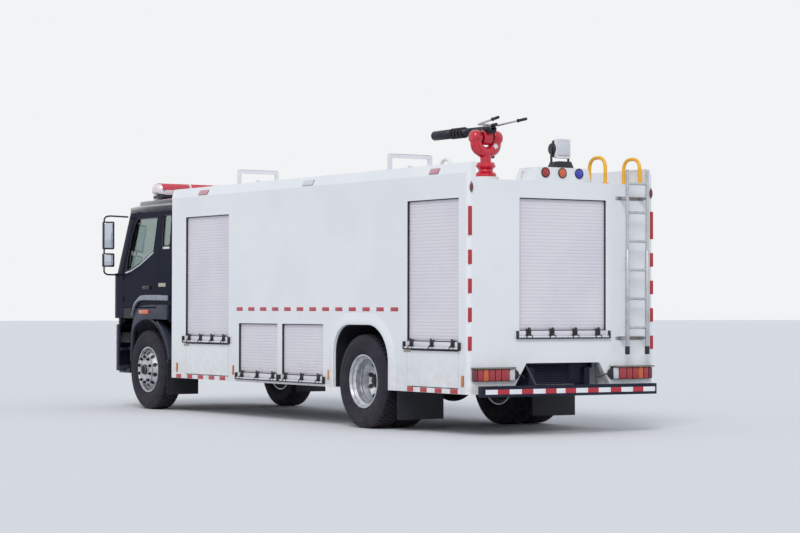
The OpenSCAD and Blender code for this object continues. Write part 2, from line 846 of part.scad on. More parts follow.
module lamps() {
    color([0.70, 0.10, 0.10]) {
        for (y = [-220, 0, 220]) {
            translate([body_rear_x, y, (deck_z + hump_top) / 2]) bar_x(roof_lamp_r, -22, 0);
        }
        both() {
            block([body_rear_x - 70, tail_inner, 575], [body_rear_x, tail_outer, 703]);
            for (k = markers) {
                block([body_rear_x + k[0] - k[1] / 2, body_half, marker_z[0]],
                      [body_rear_x + k[0] + k[1] / 2, body_half + 7, marker_z[1]]);
            }
            for (k = edge_lamps) {
                translate([body_rear_x, body_half, shoulder_z]) rotate([shoulder_lean, 0, 0])
                    block([k[0], 0, 12], [k[1], 6, 80]);
            }
            intersection() {
                block(headlamp_low + [fit, fit, fit], headlamp_high - [0, fit, fit]);
                translate([0, 0, bumper_z]) linear_extrude(bumper_h) bumper_plan(8);
            }
        }
    }
}

module rear_bumper() {
    color([0.06, 0.07, 0.11]) {
        block([rear_x, 70 - body_half, 414], [rear_x + 60, body_half - 70, 528]);
        both() block([rear_x + 59, bumper_arm_y, 440], [body_rear_x + 250, bumper_arm_y + 70, 500]);
        both() block([body_rear_x + wall + clear, bumper_arm_y, 440],
                     [body_rear_x + 250, bumper_arm_y + 70, rail_z]);
    }
}

mudflap_t = 8;
mudflap_low = 230;

module mudflaps() {
    rear = rear_axle_x - 640;
    front = front_axle_x - fender_r - 20;
    color([0.05, 0.05, 0.06]) both() {
        block([rear, 640, mudflap_low], [rear + mudflap_t, 1190, body_z]);
        block([front, 800, mudflap_low], [front + mudflap_t, 1190, fender_low]);
    }
}

// Searchlight

light_z = hump_top + 210;
light_r = 90;
light_half = 75;
light_arm_y = 99;
light_plate_z = hump_top + 26;

module searchlight_yoke() {
    color([0.08, 0.08, 0.10]) translate([light_x, light_y, 0]) {
        translate([0, 0, hump_top + fit]) cylinder(r = 95, h = light_plate_z - hump_top - fit);
        block([-30, -light_arm_y - 16, light_plate_z - 1], [30, light_arm_y + 16, light_plate_z + 16]);
        difference() {
            for (s = [-1, 1]) {
                block([-25, s * (light_arm_y + 8) - 8, light_plate_z],
                      [25, s * (light_arm_y + 8) + 8, light_z + 25]);
            }
            translate([0, 0, light_z]) bar_y(12 + fit, -200, 200);
        }
        // The tilt motor on the left arm
        translate([0, 0, light_z]) bar_y(46, light_arm_y + 15, light_arm_y + 70);
    }
}

module searchlight_head() {
    color([0.75, 0.76, 0.78]) translate([light_x, light_y, light_z]) {
        bar_x(light_r, -light_half, light_half);
        bar_y(12, -light_arm_y - 14, light_arm_y + 14);
    }
}

// Monitor

module monitor_base() {
    color([0.72, 0.08, 0.10]) translate([monitor_x, 0, 0]) {
        translate([0, 0, pad_top]) cylinder(r = 120, h = 33);
        translate([0, 0, pad_top + 30]) cylinder(r = 75, h = 102);
        translate([0, 0, pad_top + 130]) cylinder(r = 100, h = 30);
    }
}

yoke_z0 = pad_top + 160 + fit;
arm_y = 150;
pipe_r = 48;
elbow_r = 90;
elbow_z = monitor_z - 72;
bulb_r = 57;
swivel_r = 68;

// Two fat elbows that leave the neck sideways, turn up and end in the swivels of the barrel
module monitor_yoke() {
    pipe_z = elbow_z - elbow_r;
    color([0.72, 0.08, 0.10]) translate([monitor_x, 0, 0]) {
        translate([0, 0, yoke_z0]) cylinder(r = 62, h = pipe_z - yoke_z0);
        translate([0, 0, pipe_z]) bar_y(pipe_r, elbow_r - arm_y, arm_y - elbow_r);
        for (turn = [0, 180]) rotate([0, 0, turn]) {
            translate([0, arm_y - elbow_r, elbow_z]) rotate([90, 0, 90]) rotate_extrude(angle = -90)
                translate([elbow_r, 0]) circle(r = pipe_r);
            translate([0, arm_y, elbow_z]) cylinder(r = pipe_r, h = monitor_z - elbow_z);
            translate([0, 0, monitor_z]) {
                difference() {
                    translate([0, arm_y - 6, 0]) sphere(r = bulb_r);
                    block([-bulb_r, 0, -bulb_r], [bulb_r, arm_y - pipe_r + 1, bulb_r]);
                }
                bar_y(swivel_r, arm_y - pipe_r, arm_y - pipe_r + 30);
            }
        }
    }
}

barrel_l = 1030;
barrel_up = 85;
outlet_r = 38;
outlet_l = 80;
ring_pitch = 68;

module monitor_barrel() {
    inner = arm_y - pipe_r - fit;
    color([0.10, 0.10, 0.12]) translate([monitor_x, 0, monitor_z]) {
        bar_y(swivel_r, -inner, -inner + 24);
        bar_y(swivel_r, inner - 24, inner);
        bar_y(pipe_r - 6, -inner + 10, inner - 10);
        translate([0, 0, barrel_up]) {
            cylinder(r = pipe_r, h = 60, center = true);
            bar_x(44, -150, barrel_l - 630);
            bar_x(49, barrel_l - 631, barrel_l - 340);
            for (i = [0 : 3]) bar_x(60, barrel_l - 615 + i * ring_pitch, barrel_l - 575 + i * ring_pitch);
            difference() {
                bar_x(55, barrel_l - 341, barrel_l);
                bar_x(outlet_r, barrel_l - outlet_l, barrel_l + 1);
            }
            for (s = [-1, 1]) strut([-130, 0, 0], [-520, s * 190, 105], 12);
        }
        cylinder(r = pipe_r - 10, h = barrel_up);
    }
}

// Cab. Its form is where three outlines meet: from the side, from above and from the front

roof_split = 2600;
belt_z = 1800;
screen_top_x = cab_front_x - 390;
screen_low_x = cab_front_x - 95;

module cab_form(inset) {
    b = inset;
    side = [[cab_back_x + b, cab_low + b], [cab_back_x + b, cab_top - 30 - b],
            [cab_back_x + 60 + b, cab_top - b], [cab_front_x - 1130, cab_top - b],
            [cab_front_x - 480, cab_top - 70 - b], [screen_top_x - b, roof_split + 20 - b],
            [screen_low_x - b, belt_z - 25], [cab_front_x - 8 - b, 1600], [cab_front_x - b, cab_low + b]];
    half = cab_half - b;
    front = [[half, cab_low + b], [half, belt_z], [half - 60, roof_split + 40],
             [half - 110, cab_top - 50 - b], [half - 260, cab_top - b]];
    other = [for (i = [len(front) - 1 : -1 : 0]) [-front[i][0], front[i][1]]];
    intersection() {
        plate_xz(-half, half) polygon(side);
        plate_yz(cab_back_x, cab_front_x) polygon(concat(front, other));
        translate([0, 0, 1000]) linear_extrude(2000) cab_plan(b);
    }
}

module cab_plan(inset) {
    half = cab_half - inset;
    r = cab_corner_r - inset;
    x1 = cab_front_x - inset;
    translate([cab_back_x - 100, -half]) square([cab_l + 100 - inset - r, 2 * half]);
    translate([x1 - r - 1, r - half]) square([r + 1, 2 * half - 2 * r]);
    for (y = [r - half, half - r]) translate([x1 - r, y]) circle(r = r);
}

module cab_skin() {
    difference() {
        cab_form(0);
        cab_form(cab_wall);
    }
}

cab_low = 1150;
sill_low = cab_low + cab_wall;
cab_floor_z = 1250;
cab_floor_t = 40;
pillar_y = 930;
door_x0 = cab_back_x + 365;
door_x1 = cab_front_x - 497;

// The outline that a door's edges follow, in X and Z
module door_outline(grow) {
    g = grow;
    polygon([[door_x0 - g, door_z - g], [door_x1 + g, door_z - g], [door_x1 + g, belt_z + 10],
             [cab_front_x - 745 + g, roof_split - clear + g], [door_x0 - g, roof_split - clear + g]]);
}

module door_window() {
    polygon([[door_x0 + 115, 2520], [door_x0 + 690, 2520], [door_x0 + 775, 2460], [door_x0 + 860, 2300],
             [door_x0 + 945, 1990], [door_x0 + 955, 1840], [door_x0 + 790, 1855], [door_x0 + 550, 1925],
             [door_x0 + 370, 1995], [door_x0 + 175, 2075]]);
}

hinge_x = door_x1 + 10;
hinge_y = cab_half;
hinge_r = 6;
hinge_h = 60;
hinge_z = [1420, 1720];
front_split_x = door_x1 - 20;
grille_half = 700;
grille_z = 1262;
grille_pitch = 62;

// The floor with the door sills
module cab_floor() {
    color([0.10, 0.10, 0.12]) {
        intersection() {
            cab_form(cab_wall);
            block([cab_back_x + cab_wall, -2000, cab_floor_z],
                  [cab_front_x - 120, 2000, cab_floor_z + cab_floor_t]);
        }
        intersection() {
            cab_skin();
            both() block([cab_back_x + cab_wall, pillar_y, sill_low], [front_split_x, 2000, door_z - clear]);
        }
    }
}

module cab_back() {
    color([0.03, 0.04, 0.08]) intersection() {
        cab_skin();
        difference() {
            block([cab_back_x - 1, -2000, cab_low], [cab_back_x + cab_wall, 2000, roof_split]);
            block([cab_back_x - 2, -550, 1900], [cab_back_x + cab_wall + 1, 550, 2400]);
        }
    }
}

// The quarter panels behind the doors and the windscreen pillars
module cab_sides() {
    color([0.03, 0.04, 0.08]) intersection() {
        cab_skin();
        difference() {
            union() {
                both() block([cab_back_x + cab_wall, pillar_y, door_z - clear],
                             [door_x0 - clear, 2000, roof_split]);
                both() block([front_split_x - 300, pillar_y, belt_z], [cab_front_x, 2000, roof_split]);
            }
            plate_xz(-2000, 2000) door_outline(clear);
            plate_xz(-2000, 2000) quarter_window();
        }
    }
}

module quarter_window() {
    round_rect([cab_back_x + 80, 2140], [door_x0 - 60, 2540], 30);
}

module cab_roof() {
    color([0.03, 0.04, 0.08]) intersection() {
        cab_skin();
        block([cab_back_x - 1, -2000, roof_split], [cab_front_x, 2000, 3000]);
    }
}

// The front panel, whose ends carry the doors' hinge pins
module cab_front() {
    color([0.03, 0.04, 0.08]) {
        intersection() {
            cab_skin();
            difference() {
                block([front_split_x, -2000, sill_low], [cab_front_x + 1, 2000, belt_z]);
                plate_xz(-2000, 2000) door_outline(clear);
                both() for (z = hinge_z) {
                    translate([hinge_x, hinge_y, z - clear])
                        cylinder(r = hinge_r + 11, h = hinge_h + 2 * clear);
                }
            }
        }
        both() for (z = hinge_z) {
            translate([hinge_x, hinge_y, z - clear - 4]) cylinder(r = hinge_r, h = hinge_h + 2 * clear + 8);
        }
        for (z = [grille_z : grille_pitch : grille_z + 4 * grille_pitch]) {
            block([cab_front_x - 15, -grille_half, z], [cab_front_x + 12, grille_half, z + 24]);
        }
    }
}

glass_t = 8;

module cab_glass() {
    color([0.25, 0.33, 0.36, 0.5]) {
        intersection() {
            difference() {
                cab_form(10);
                cab_form(10 + glass_t);
            }
            union() {
                block([cab_front_x - 600, -pillar_y, belt_z], [cab_front_x, pillar_y, roof_split]);
                both() plate_xz(900, 2000) quarter_window();
            }
        }
        block([cab_back_x + 10, -550, 1900], [cab_back_x + 10 + glass_t, 550, 2400]);
    }
}

module door() {
    color([0.03, 0.04, 0.08]) difference() {
        union() {
            intersection() {
                cab_skin();
                plate_xz(700, 2000) difference() {
                    door_outline(0);
                    door_window();
                }
            }
            for (z = hinge_z) {
                translate([hinge_x, hinge_y, z]) cylinder(r = hinge_r + 5, h = hinge_h);
                block([door_x1 - 20, hinge_y - 8, z], [hinge_x, hinge_y + 4, z + hinge_h]);
            }
        }
        for (z = hinge_z) {
            translate([hinge_x, hinge_y, z - 1]) cylinder(r = hinge_r + fit, h = hinge_h + 2);
        }
    }
}

module door_left() {
    door();
}

module door_right() {
    mirror([0, 1, 0]) door();
}

module door_glass_left() {
    color([0.25, 0.33, 0.36, 0.5]) intersection() {
        difference() {
            cab_form(16);
            cab_form(16 + glass_t);
        }
        plate_xz(700, 2000) door_window();
    }
}

module door_glass_right() {
    mirror([0, 1, 0]) door_glass_left();
}

// Seats and dashboard

module cab_interior() {
    z = cab_floor_z + cab_floor_t;
    color([0.12, 0.12, 0.14]) {
        for (y = [-560, 560]) {
            block([cab_back_x + 330, y - 260, z], [cab_back_x + 860, y + 260, z + 330]);
            translate([cab_back_x + 300, y, z + 330]) rotate([0, -12, 0])
                block([-60, -250, -40], [70, 250, 640]);
        }
        block([cab_front_x - 560, -cab_half + cab_wall + 30, z],
              [cab_front_x - 200, cab_half - cab_wall - 30, z + 430]);
        translate([wheel_x, wheel_y, wheel_z]) rotate([0, -wheel_lean, 0])
            translate([0, 0, -420]) cylinder(r = 34, h = 420 - column_l - fit);
    }
}

wheel_x = cab_back_x + 1230;
wheel_y = 560;
wheel_z = 1900;
wheel_lean = 30;
column_l = 160;

module steering_wheel() {
    color([0.05, 0.05, 0.06]) translate([wheel_x, wheel_y, wheel_z]) rotate([0, -wheel_lean, 0]) {
        rotate_extrude() translate([210, 0]) circle(r = 15);
        cylinder(r = 45, h = 20, center = true);
        for (a = [90, 210, 330]) rotate([0, 0, a]) block([0, -14, -8], [210, 14, 8]);
        translate([0, 0, -column_l]) cylinder(r = 20, h = column_l);
    }
}

bumper_half = cab_half + 25;
step_x = front_axle_x + 700;
step_y = 900;
headlamp_low = [front_x - 90, 700, 850];
headlamp_high = [front_x, 1210, 1010];
tow_y = 420;
tow_z = 590;
tow_r = 16;
bumper_t = 40;

module front_bumper() {
    color([0.03, 0.04, 0.08]) {
        difference() {
            translate([0, 0, bumper_z]) linear_extrude(bumper_h) bumper_plan(0);
            translate([0, 0, bumper_z - 1]) linear_extrude(bumper_h - bumper_t + 1) bumper_plan(bumper_t);
            block([front_x - 1000, -2000, bumper_z - 1], [front_x - bumper_l, 2000, bumper_z + bumper_h + 1]);
            both() block(headlamp_low, headlamp_high + [1, 0, 0]);
            for (y = [-tow_y, tow_y]) translate([0, y, tow_z])
                bar_x(tow_r, front_x - 2 * bumper_t, front_x + 1);
        }
        both() {
            block([step_x, step_y, bumper_z], [front_x - bumper_l, bumper_half - 5, bumper_z + 70]);
            block([step_x, step_y, 760], [front_x - bumper_l, bumper_half - 25, 800]);
            block([step_x, step_y, bumper_z], [front_x - bumper_l, step_y + 30, bumper_z + bumper_h]);
            block([front_x - bumper_l + fit, rail_half - rail_flange, 820],
                  [front_x - bumper_t + 1, rail_half, 880]);
        }
    }
}

module bumper_plan(inset) {
    half = bumper_half - inset;
    r = 260 - inset;
    x1 = front_x - inset;
    translate([front_x - 700, -half]) square([x1 - r - front_x + 700, 2 * half]);
    translate([x1 - r - 1, r - half]) square([r + 1, 2 * half - 2 * r]);
    for (y = [r - half, half - r]) translate([x1 - r, y]) circle(r = r);
}

fender_r = 655;
fender_t = 40;
fender_top = door_z - 10;
fender_low = 640;
fender_y = bumper_half + 5;

module fenders() {
    color([0.22, 0.23, 0.25]) both() {
        difference() {
            union() {
                translate([front_axle_x, 0, axle_z + 10]) bar_y(fender_r + fender_t, 780, fender_y);
                plate_xz(1140, fender_y) polygon([
                    [front_axle_x - 600, 900], [front_axle_x + 640, 900],
                    [front_axle_x + 620, fender_top - 180], [front_axle_x + 575, fender_top - 80],
                    [front_axle_x + 500, fender_top - 20], [front_axle_x + 400, fender_top],
                    [front_axle_x - 520, fender_top],
                    [front_axle_x - 600, fender_top - 60]
                ]);
            }
            translate([front_axle_x, 0, axle_z + 10]) bar_y(fender_r, 700, 1300);
            block([front_axle_x - 800, 700, -200], [front_axle_x + 800, 1300, fender_low]);
            block([front_axle_x - 800, 700, sill_low - fit], [front_axle_x + 800, cab_half + fit, 2000]);
        }
    }
}

// Mirrors

mirror_x = cab_front_x - 350;
mirror_post_y = 1350;
mirror_arm = 12;

// Each mirror arm: distance behind the mirrors, the cab's side there, height
mirror_arms = [[20, cab_half + fit, belt_z - 20], [70, cab_half - 53, 2560]];

module mirrors() {
    post_x = mirror_x + 60;
    color([0.04, 0.04, 0.05]) both() {
        block([mirror_x - 40, 1260, 2130], [mirror_x + 40, 1440, 2490]);
        block([mirror_x - 40, 1265, 1890], [mirror_x + 40, 1435, 2080]);
        translate([post_x, mirror_post_y, belt_z - 20]) cylinder(r = mirror_arm, h = 2560 - belt_z + 20);
        for (z = [1990, 2220]) {
            block([mirror_x + 39, mirror_post_y - 10, z - 20], [post_x, mirror_post_y + 10, z + 20]);
        }
        for (arm = mirror_arms) {
            block([mirror_x - arm[0] - mirror_arm, arm[1], arm[2] - mirror_arm],
                  [mirror_x - arm[0] + mirror_arm, mirror_post_y + mirror_arm, arm[2] + mirror_arm]);
            block([mirror_x - arm[0], mirror_post_y - mirror_arm, arm[2] - mirror_arm],
                  [post_x, mirror_post_y + mirror_arm, arm[2] + mirror_arm]);
        }
    }
}

// Light bar

module light_bar() {
    bar_x0 = cab_front_x - 940;
    color([0.75, 0.10, 0.12]) {
        plate_yz(bar_x0, bar_x0 + 300) round_rect([-light_bar_half, 2800], [light_bar_half, 3005], 40);
        difference() {
            both() block([bar_x0 + 60, 500, cab_top - 200], [bar_x0 + 240, 580, 2801]);
            cab_form(-fit);
        }
    }
}

frame();
driveline();
front_axle();
rear_axle();
chassis_tanks();
tie_rod();
knuckle_left();
knuckle_right();
tyre_front_left();
tyre_front_right();
tyre_rear_left();
tyre_rear_right();
rim_front_left();
rim_front_right();
rim_rear_left();
rim_rear_right();
body_floor();
body_side_left();
body_side_right();
body_ends();
roof_deck();
shutters();
shutter_bars();
flap_front_left();
flap_front_right();
flap_rear_left();
flap_rear_right();
hatch_neck();
hatch_lid();
roof_racks();
grab_hoops();
ladder();
lamps();
searchlight_yoke();
searchlight_head();
monitor_base();
monitor_yoke();
monitor_barrel();
rear_bumper();
mudflaps();
cab_floor();
cab_back();
cab_sides();
cab_roof();
cab_front();
cab_glass();
door_left();
door_right();
door_glass_left();
door_glass_right();
cab_interior();
steering_wheel();
front_bumper();
fenders();
mirrors();
light_bar();
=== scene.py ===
import math

import bpy
from bpy.props import FloatProperty, FloatVectorProperty, IntProperty, PointerProperty
from mathutils import Matrix, Vector


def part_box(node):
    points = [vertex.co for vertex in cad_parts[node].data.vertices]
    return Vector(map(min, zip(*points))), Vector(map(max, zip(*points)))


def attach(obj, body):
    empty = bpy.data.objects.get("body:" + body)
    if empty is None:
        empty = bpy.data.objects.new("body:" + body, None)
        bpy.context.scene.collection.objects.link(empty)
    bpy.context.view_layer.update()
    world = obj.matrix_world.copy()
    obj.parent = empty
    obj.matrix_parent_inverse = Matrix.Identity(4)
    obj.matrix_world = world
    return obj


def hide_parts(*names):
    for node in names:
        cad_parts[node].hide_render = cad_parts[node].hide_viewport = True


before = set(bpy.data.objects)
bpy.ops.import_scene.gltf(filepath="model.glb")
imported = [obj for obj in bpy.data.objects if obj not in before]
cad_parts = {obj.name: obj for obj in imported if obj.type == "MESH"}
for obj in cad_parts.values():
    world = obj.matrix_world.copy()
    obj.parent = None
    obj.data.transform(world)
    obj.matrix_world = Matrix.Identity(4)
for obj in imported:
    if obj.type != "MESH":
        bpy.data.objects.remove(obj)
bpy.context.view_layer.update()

bl_info = {
    "name": "Airport fire truck",
    "version": (1, 0, 0),
    "blender": (4, 5, 0),
    "location": "View3D > Sidebar > Fire truck",
    "description": "Dresses the packed fire truck with its paint, tyres, lamps and fittings",
    "category": "Object",
}

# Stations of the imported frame, in metres
REAR_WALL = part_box("body_ends")[0].x
BODY_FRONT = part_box("body_ends")[1].x
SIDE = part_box("flap_front_left")[1].y
BUMPER_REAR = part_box("rear_bumper")[0].x
SHOULDER = 2.74
SHOULDER_LEAN = math.radians(25.6)
CAB_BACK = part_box("cab_back")[0].x
CAB_FRONT = CAB_BACK + 1.9
CAB_SIDE = 1.17
BELT = 1.80
CAB_LEAN = 60 / 840
AXLE_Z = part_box("tyre_front_left")[1].z / 2
FRONT_AXLE = (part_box("tyre_front_left")[0].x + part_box("tyre_front_left")[1].x) / 2
REAR_AXLE = (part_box("tyre_rear_left")[0].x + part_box("tyre_rear_left")[1].x) / 2
TYRE_HALF = (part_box("tyre_front_left")[1].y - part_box("tyre_front_left")[0].y) / 2
FRONT_TYRE_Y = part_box("tyre_front_left")[1].y - TYRE_HALF
OUTER_TYRE_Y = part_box("tyre_rear_left")[1].y - TYRE_HALF
INNER_TYRE_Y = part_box("tyre_rear_left")[0].y + TYRE_HALF
MONITOR_X = (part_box("monitor_base")[0].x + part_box("monitor_base")[1].x) / 2
MONITOR_Z = 3.24
BARREL_Z = 3.325
LIGHT_X = REAR_WALL + 0.165
LIGHT_Y = -0.09
LIGHT_Z = 3.04

# Shutters on a side: rear edge and front edge from the rear wall, lower edge, top, catches
SIDE_SHUTTERS = (
    (5.224, 6.378, 0.892, 2.484, 4),
    (4.00575, 4.962, 0.465, 1.148, 3),
    (2.9395, 3.89575, 0.465, 1.148, 3),
    (0.176, 1.168, 0.892, 2.484, 3),
)
REAR_SHUTTER = (-0.570, 0.570, 1.012, 2.496, 4)


# Colours and node trees

def ink(code):
    """An sRGB hex colour as linear numbers."""
    parts = [int(code[i:i + 2], 16) / 255 for i in (1, 3, 5)]
    return tuple(p / 12.92 if p <= 0.04045 else ((p + 0.055) / 1.055) ** 2.4 for p in parts) + (1.0,)


def add_node(tree, kind, settings=None, links=None):
    """Add one node with its settings and the outputs that feed it."""
    node = tree.nodes.new(kind)
    for name, value in (settings or {}).items():
        if isinstance(name, int) or name in node.inputs:
            node.inputs[name].default_value = value
        else:
            setattr(node, name, value)
    for name, source in (links or {}).items():
        tree.links.new(source, node.inputs[name])
    return node


FINISHES = {}


class Finish:
    """A material whose shader's sockets are set, ready for its patterns."""

    def __init__(self, name, slot, sockets):
        self.material = bpy.data.materials.new(name)
        self.material.use_nodes = True
        self.tree = self.material.node_tree
        self.tree.nodes.clear()
        self.skin = add_node(self.tree, "ShaderNodeBsdfPrincipled", sockets)
        add_node(self.tree, "ShaderNodeOutputMaterial", {}, {"Surface": self.skin.outputs[0]})
        self.place = add_node(self.tree, "ShaderNodeTexCoord").outputs["Object"]
        self.colour = tuple(self.skin.inputs["Base Color"].default_value)
        self.slot = slot
        self.tone = None
        FINISHES[name] = self

    def cloud(self, size, detail=3.0):
        """Soft patches of the given size in metres."""
        return add_node(self.tree, "ShaderNodeTexNoise", {"Scale": 1 / size, "Detail": detail},
                {"Vector": self.place}).outputs[0]

    def blend(self, share, colour):
        """Mix another colour over the base where share is 1."""
        mixed = add_node(self.tree, "ShaderNodeMix", {"data_type": "RGBA", 6: self.colour, 7: colour},
                {0: share})
        if self.tone is not None:
            self.tree.links.new(self.tone, mixed.inputs[6])
        self.tone = mixed.outputs[2]
        self.tree.links.new(self.tone, self.skin.inputs["Base Color"])

    def patches(self, size, colour, share=0.5, low=0.45, high=0.7):
        """Uneven tone, such as dirt and worn paint; on the cab's roof, a painted reflection."""
        ramp = add_node(self.tree, "ShaderNodeMapRange", {"From Min": low, "From Max": high, "To Max": share},
                {"Value": self.cloud(size)})
        self.blend(ramp.outputs[0], colour)

    def settled(self, colour, low, high, share, size=0.08):
        """Dust that fades between two heights, share at the lower one."""
        height = add_node(self.tree, "ShaderNodeSeparateXYZ", {}, {0: self.place}).outputs[2]
        fade = add_node(self.tree, "ShaderNodeMapRange",
                {"From Min": low, "From Max": high, "To Min": share, "To Max": 0.0}, {"Value": height})
        broken = add_node(self.tree, "ShaderNodeMapRange", {"From Min": 0.3, "From Max": 0.65},
                {"Value": self.cloud(size, 5.0)})
        both = add_node(self.tree, "ShaderNodeMath", {"operation": "MULTIPLY"},
                {0: fade.outputs[0], 1: broken.outputs[0]})
        self.blend(both.outputs[0], colour)

    def gloss(self, size, low, high):
        """Roughness that wanders between two values."""
        ramp = add_node(self.tree, "ShaderNodeMapRange",
                {"From Min": 0.3, "From Max": 0.7, "To Min": low, "To Max": high}, {"Value": self.cloud(size)})
        self.tree.links.new(ramp.outputs[0], self.skin.inputs["Roughness"])

    def relief(self, height, depth, strength=1.0):
        """Bump from a height pattern, depth in metres."""
        bump = add_node(self.tree, "ShaderNodeBump", {"Strength": strength, "Distance": depth},
                {"Height": height})
        self.tree.links.new(bump.outputs[0], self.skin.inputs["Normal"])

    def ribs(self, pitch, direction, profile="SIN"):
        """Parallel ribs at a pitch in metres along an axis."""
        return add_node(self.tree, "ShaderNodeTexWave",
                {"bands_direction": direction, "wave_profile": profile, "Scale": math.pi / (10 * pitch)},
                {"Vector": self.place}).outputs["Fac"]

    def cells(self, size):
        """Small cells, dark at their borders, such as prisms or a grain."""
        return add_node(self.tree, "ShaderNodeTexVoronoi", {"feature": "DISTANCE_TO_EDGE", "Scale": 1 / size},
                {"Vector": self.place}).outputs["Distance"]


# Short names of the shader's sockets
SOCKETS = {"rough": "Roughness", "ior": "IOR", "metal": "Metallic", "coat": "Coat Weight",
        "coat_rough": "Coat Roughness", "shine": "Specular IOR Level", "sheen": "Sheen Weight",
        "clear": "Transmission Weight", "milk": "Subsurface Weight", "milk_depth": "Subsurface Scale"}


def surface(name, slot, colour, patches=None, dust=None, gloss=None, grain=None, **sockets):
    """Make a finish from its colour, its sockets and its patterns."""
    settings = {SOCKETS[key]: value for key, value in sockets.items()}
    finish = Finish(name, slot, {"Base Color": ink(colour) if isinstance(colour, str) else colour, **settings})
    if patches:
        size, tone, *rest = patches
        finish.patches(size, ink(tone), *rest)
    if dust:
        tone, *rest = dust
        finish.settled(ink(tone), *rest)
    if gloss:
        finish.gloss(*gloss)
    if grain:
        pattern, sizes, depth, strength = grain
        finish.relief(getattr(finish, pattern)(*sizes), depth, strength)
    return finish


# Modelling helpers

def deselect():
    if bpy.context.object and bpy.context.object.mode != "OBJECT":
        bpy.ops.object.mode_set(mode="OBJECT")
    bpy.ops.object.select_all(action="DESELECT")


def edit_all():
    """Enter edit mode with everything selected."""
    bpy.ops.object.mode_set(mode="EDIT")
    bpy.ops.mesh.select_all(action="SELECT")


def leave_edit():
    bpy.ops.object.mode_set(mode="OBJECT")


def activate(piece):
    deselect()
    piece.select_set(True)
    bpy.context.view_layer.objects.active = piece


def name_it(name):
    """Name the active object and its mesh."""
    piece = bpy.context.object
    piece.name = name
    piece.data.name = name
    return piece


def settle(name):
    """Name the new object and put its place into its mesh."""
    piece = name_it(name)
    bpy.ops.object.transform_apply(location=True, rotation=True, scale=True)
    return piece


def block(name, one, two):
    """A box between two opposite corners."""
    low = [min(a, b) for a, b in zip(one, two)]
    high = [max(a, b) for a, b in zip(one, two)]
    deselect()
    bpy.ops.mesh.primitive_cube_add(size=1, location=[(a + b) / 2 for a, b in zip(low, high)],
            scale=[b - a for a, b in zip(low, high)])
    return settle(name)


def rod(name, start, end, radius, sides=24):
    """A round bar between two points."""
    start, end = Vector(start), Vector(end)
    deselect()
    bpy.ops.mesh.primitive_cylinder_add(vertices=sides, radius=radius, depth=(end - start).length,
            location=(start + end) / 2, rotation=(end - start).to_track_quat("Z", "Y").to_euler())
    return settle(name)


def pick(piece, test):
    """Enter edit mode with the faces selected that pass a test on centre and normal."""
    activate(piece)
    bpy.ops.object.mode_set(mode="EDIT")
    bpy.ops.mesh.select_mode(type="FACE")
    bpy.ops.mesh.select_all(action="DESELECT")
    leave_edit()
    found = [face for face in piece.data.polygons if test(face.center, face.normal)]
    if not found:
        raise RuntimeError("no face of " + piece.name + " passes the test")
    for face in found:
        face.select = True
    bpy.ops.object.mode_set(mode="EDIT")


def facing(x=0, y=0, z=0):
    """A test for the faces that look along a direction."""
    return lambda centre, normal: normal.dot((x, y, z)) > 0.9


FORWARD, BACKWARD = facing(x=1), facing(x=-1)
LEFTWARD, RIGHTWARD = facing(y=1), facing(y=-1)
UPWARD = facing(z=1)


def lengthways(centre, normal):
    """A test for the faces that look forward or back."""
    return abs(normal.x) > 0.9


def drop(piece, test):
    """Delete the picked faces."""
    pick(piece, test)
    bpy.ops.mesh.delete(type="FACE")
    leave_edit()


def inset(piece, test, width, depth=0.0):
    """Inset the picked faces and move them along their normal."""
    pick(piece, test)
    bpy.ops.mesh.inset(thickness=width, depth=depth)
    leave_edit()
    return piece


def extrude(piece, test, move, scale=None):
    """Pull the picked faces out by a move, then scale them about their middle."""
    pick(piece, test)
    bpy.ops.mesh.extrude_region_move(TRANSFORM_OT_translate={"value": move})
    if scale:
        bpy.ops.transform.resize(value=scale)
    leave_edit()
    return piece


def modify(piece, kind, **settings):
    """Apply one modifier with its settings."""
    activate(piece)
    change = piece.modifiers.new(kind.lower(), kind)
    for name, value in settings.items():
        setattr(change, name, value)
    bpy.ops.object.modifier_apply(modifier=change.name)
    return piece


def soften(piece, width, steps=2, angle=35):
    """Round the edges that are sharper than an angle."""
    return modify(piece, "BEVEL", width=width, segments=steps, limit_method="ANGLE",
            angle_limit=math.radians(angle))


def row(piece, step, count):
    """Repeat the piece along a constant step."""
    return modify(piece, "ARRAY", use_relative_offset=False, use_constant_offset=True,
            constant_offset_displace=step, count=count)


def ring(piece, count, centre, axis):
    """Repeat the piece around an axis."""
    activate(piece)
    edit_all()
    bpy.ops.mesh.spin(steps=count - 1, dupli=True, angle=2 * math.pi * (count - 1) / count, center=centre,
            axis=axis)
    leave_edit()
    return piece


def trace(name, points):
    """A line of edges through points."""
    deselect()
    bpy.ops.mesh.primitive_plane_add(size=0.01, location=points[0])
    piece = settle(name)
    bpy.ops.object.mode_set(mode="EDIT")
    bpy.ops.mesh.select_mode(type="VERT")
    bpy.ops.mesh.select_all(action="SELECT")
    bpy.ops.mesh.merge(type="CENTER")
    for here, there in zip(points, points[1:]):
        bpy.ops.mesh.extrude_vertices_move(TRANSFORM_OT_translate={"value": Vector(there) - Vector(here)})
    leave_edit()
    if len(piece.data.vertices) != len(points):
        raise RuntimeError(name + " did not take all its points")
    return piece


def outward(piece):
    """Merge doubles and turn the faces outwards."""
    activate(piece)
    edit_all()
    bpy.ops.mesh.remove_doubles(threshold=0.00005)
    bpy.ops.mesh.normals_make_consistent(inside=False)
    leave_edit()
    return piece


def turned(name, points, centre=(0, 0, 0), axis=(0, 1, 0), steps=48):
    """A profile of points spun round an axis."""
    piece = trace(name, points)
    edit_all()
    bpy.ops.mesh.spin(steps=steps, angle=2 * math.pi, center=centre, axis=axis)
    leave_edit()
    return outward(piece)


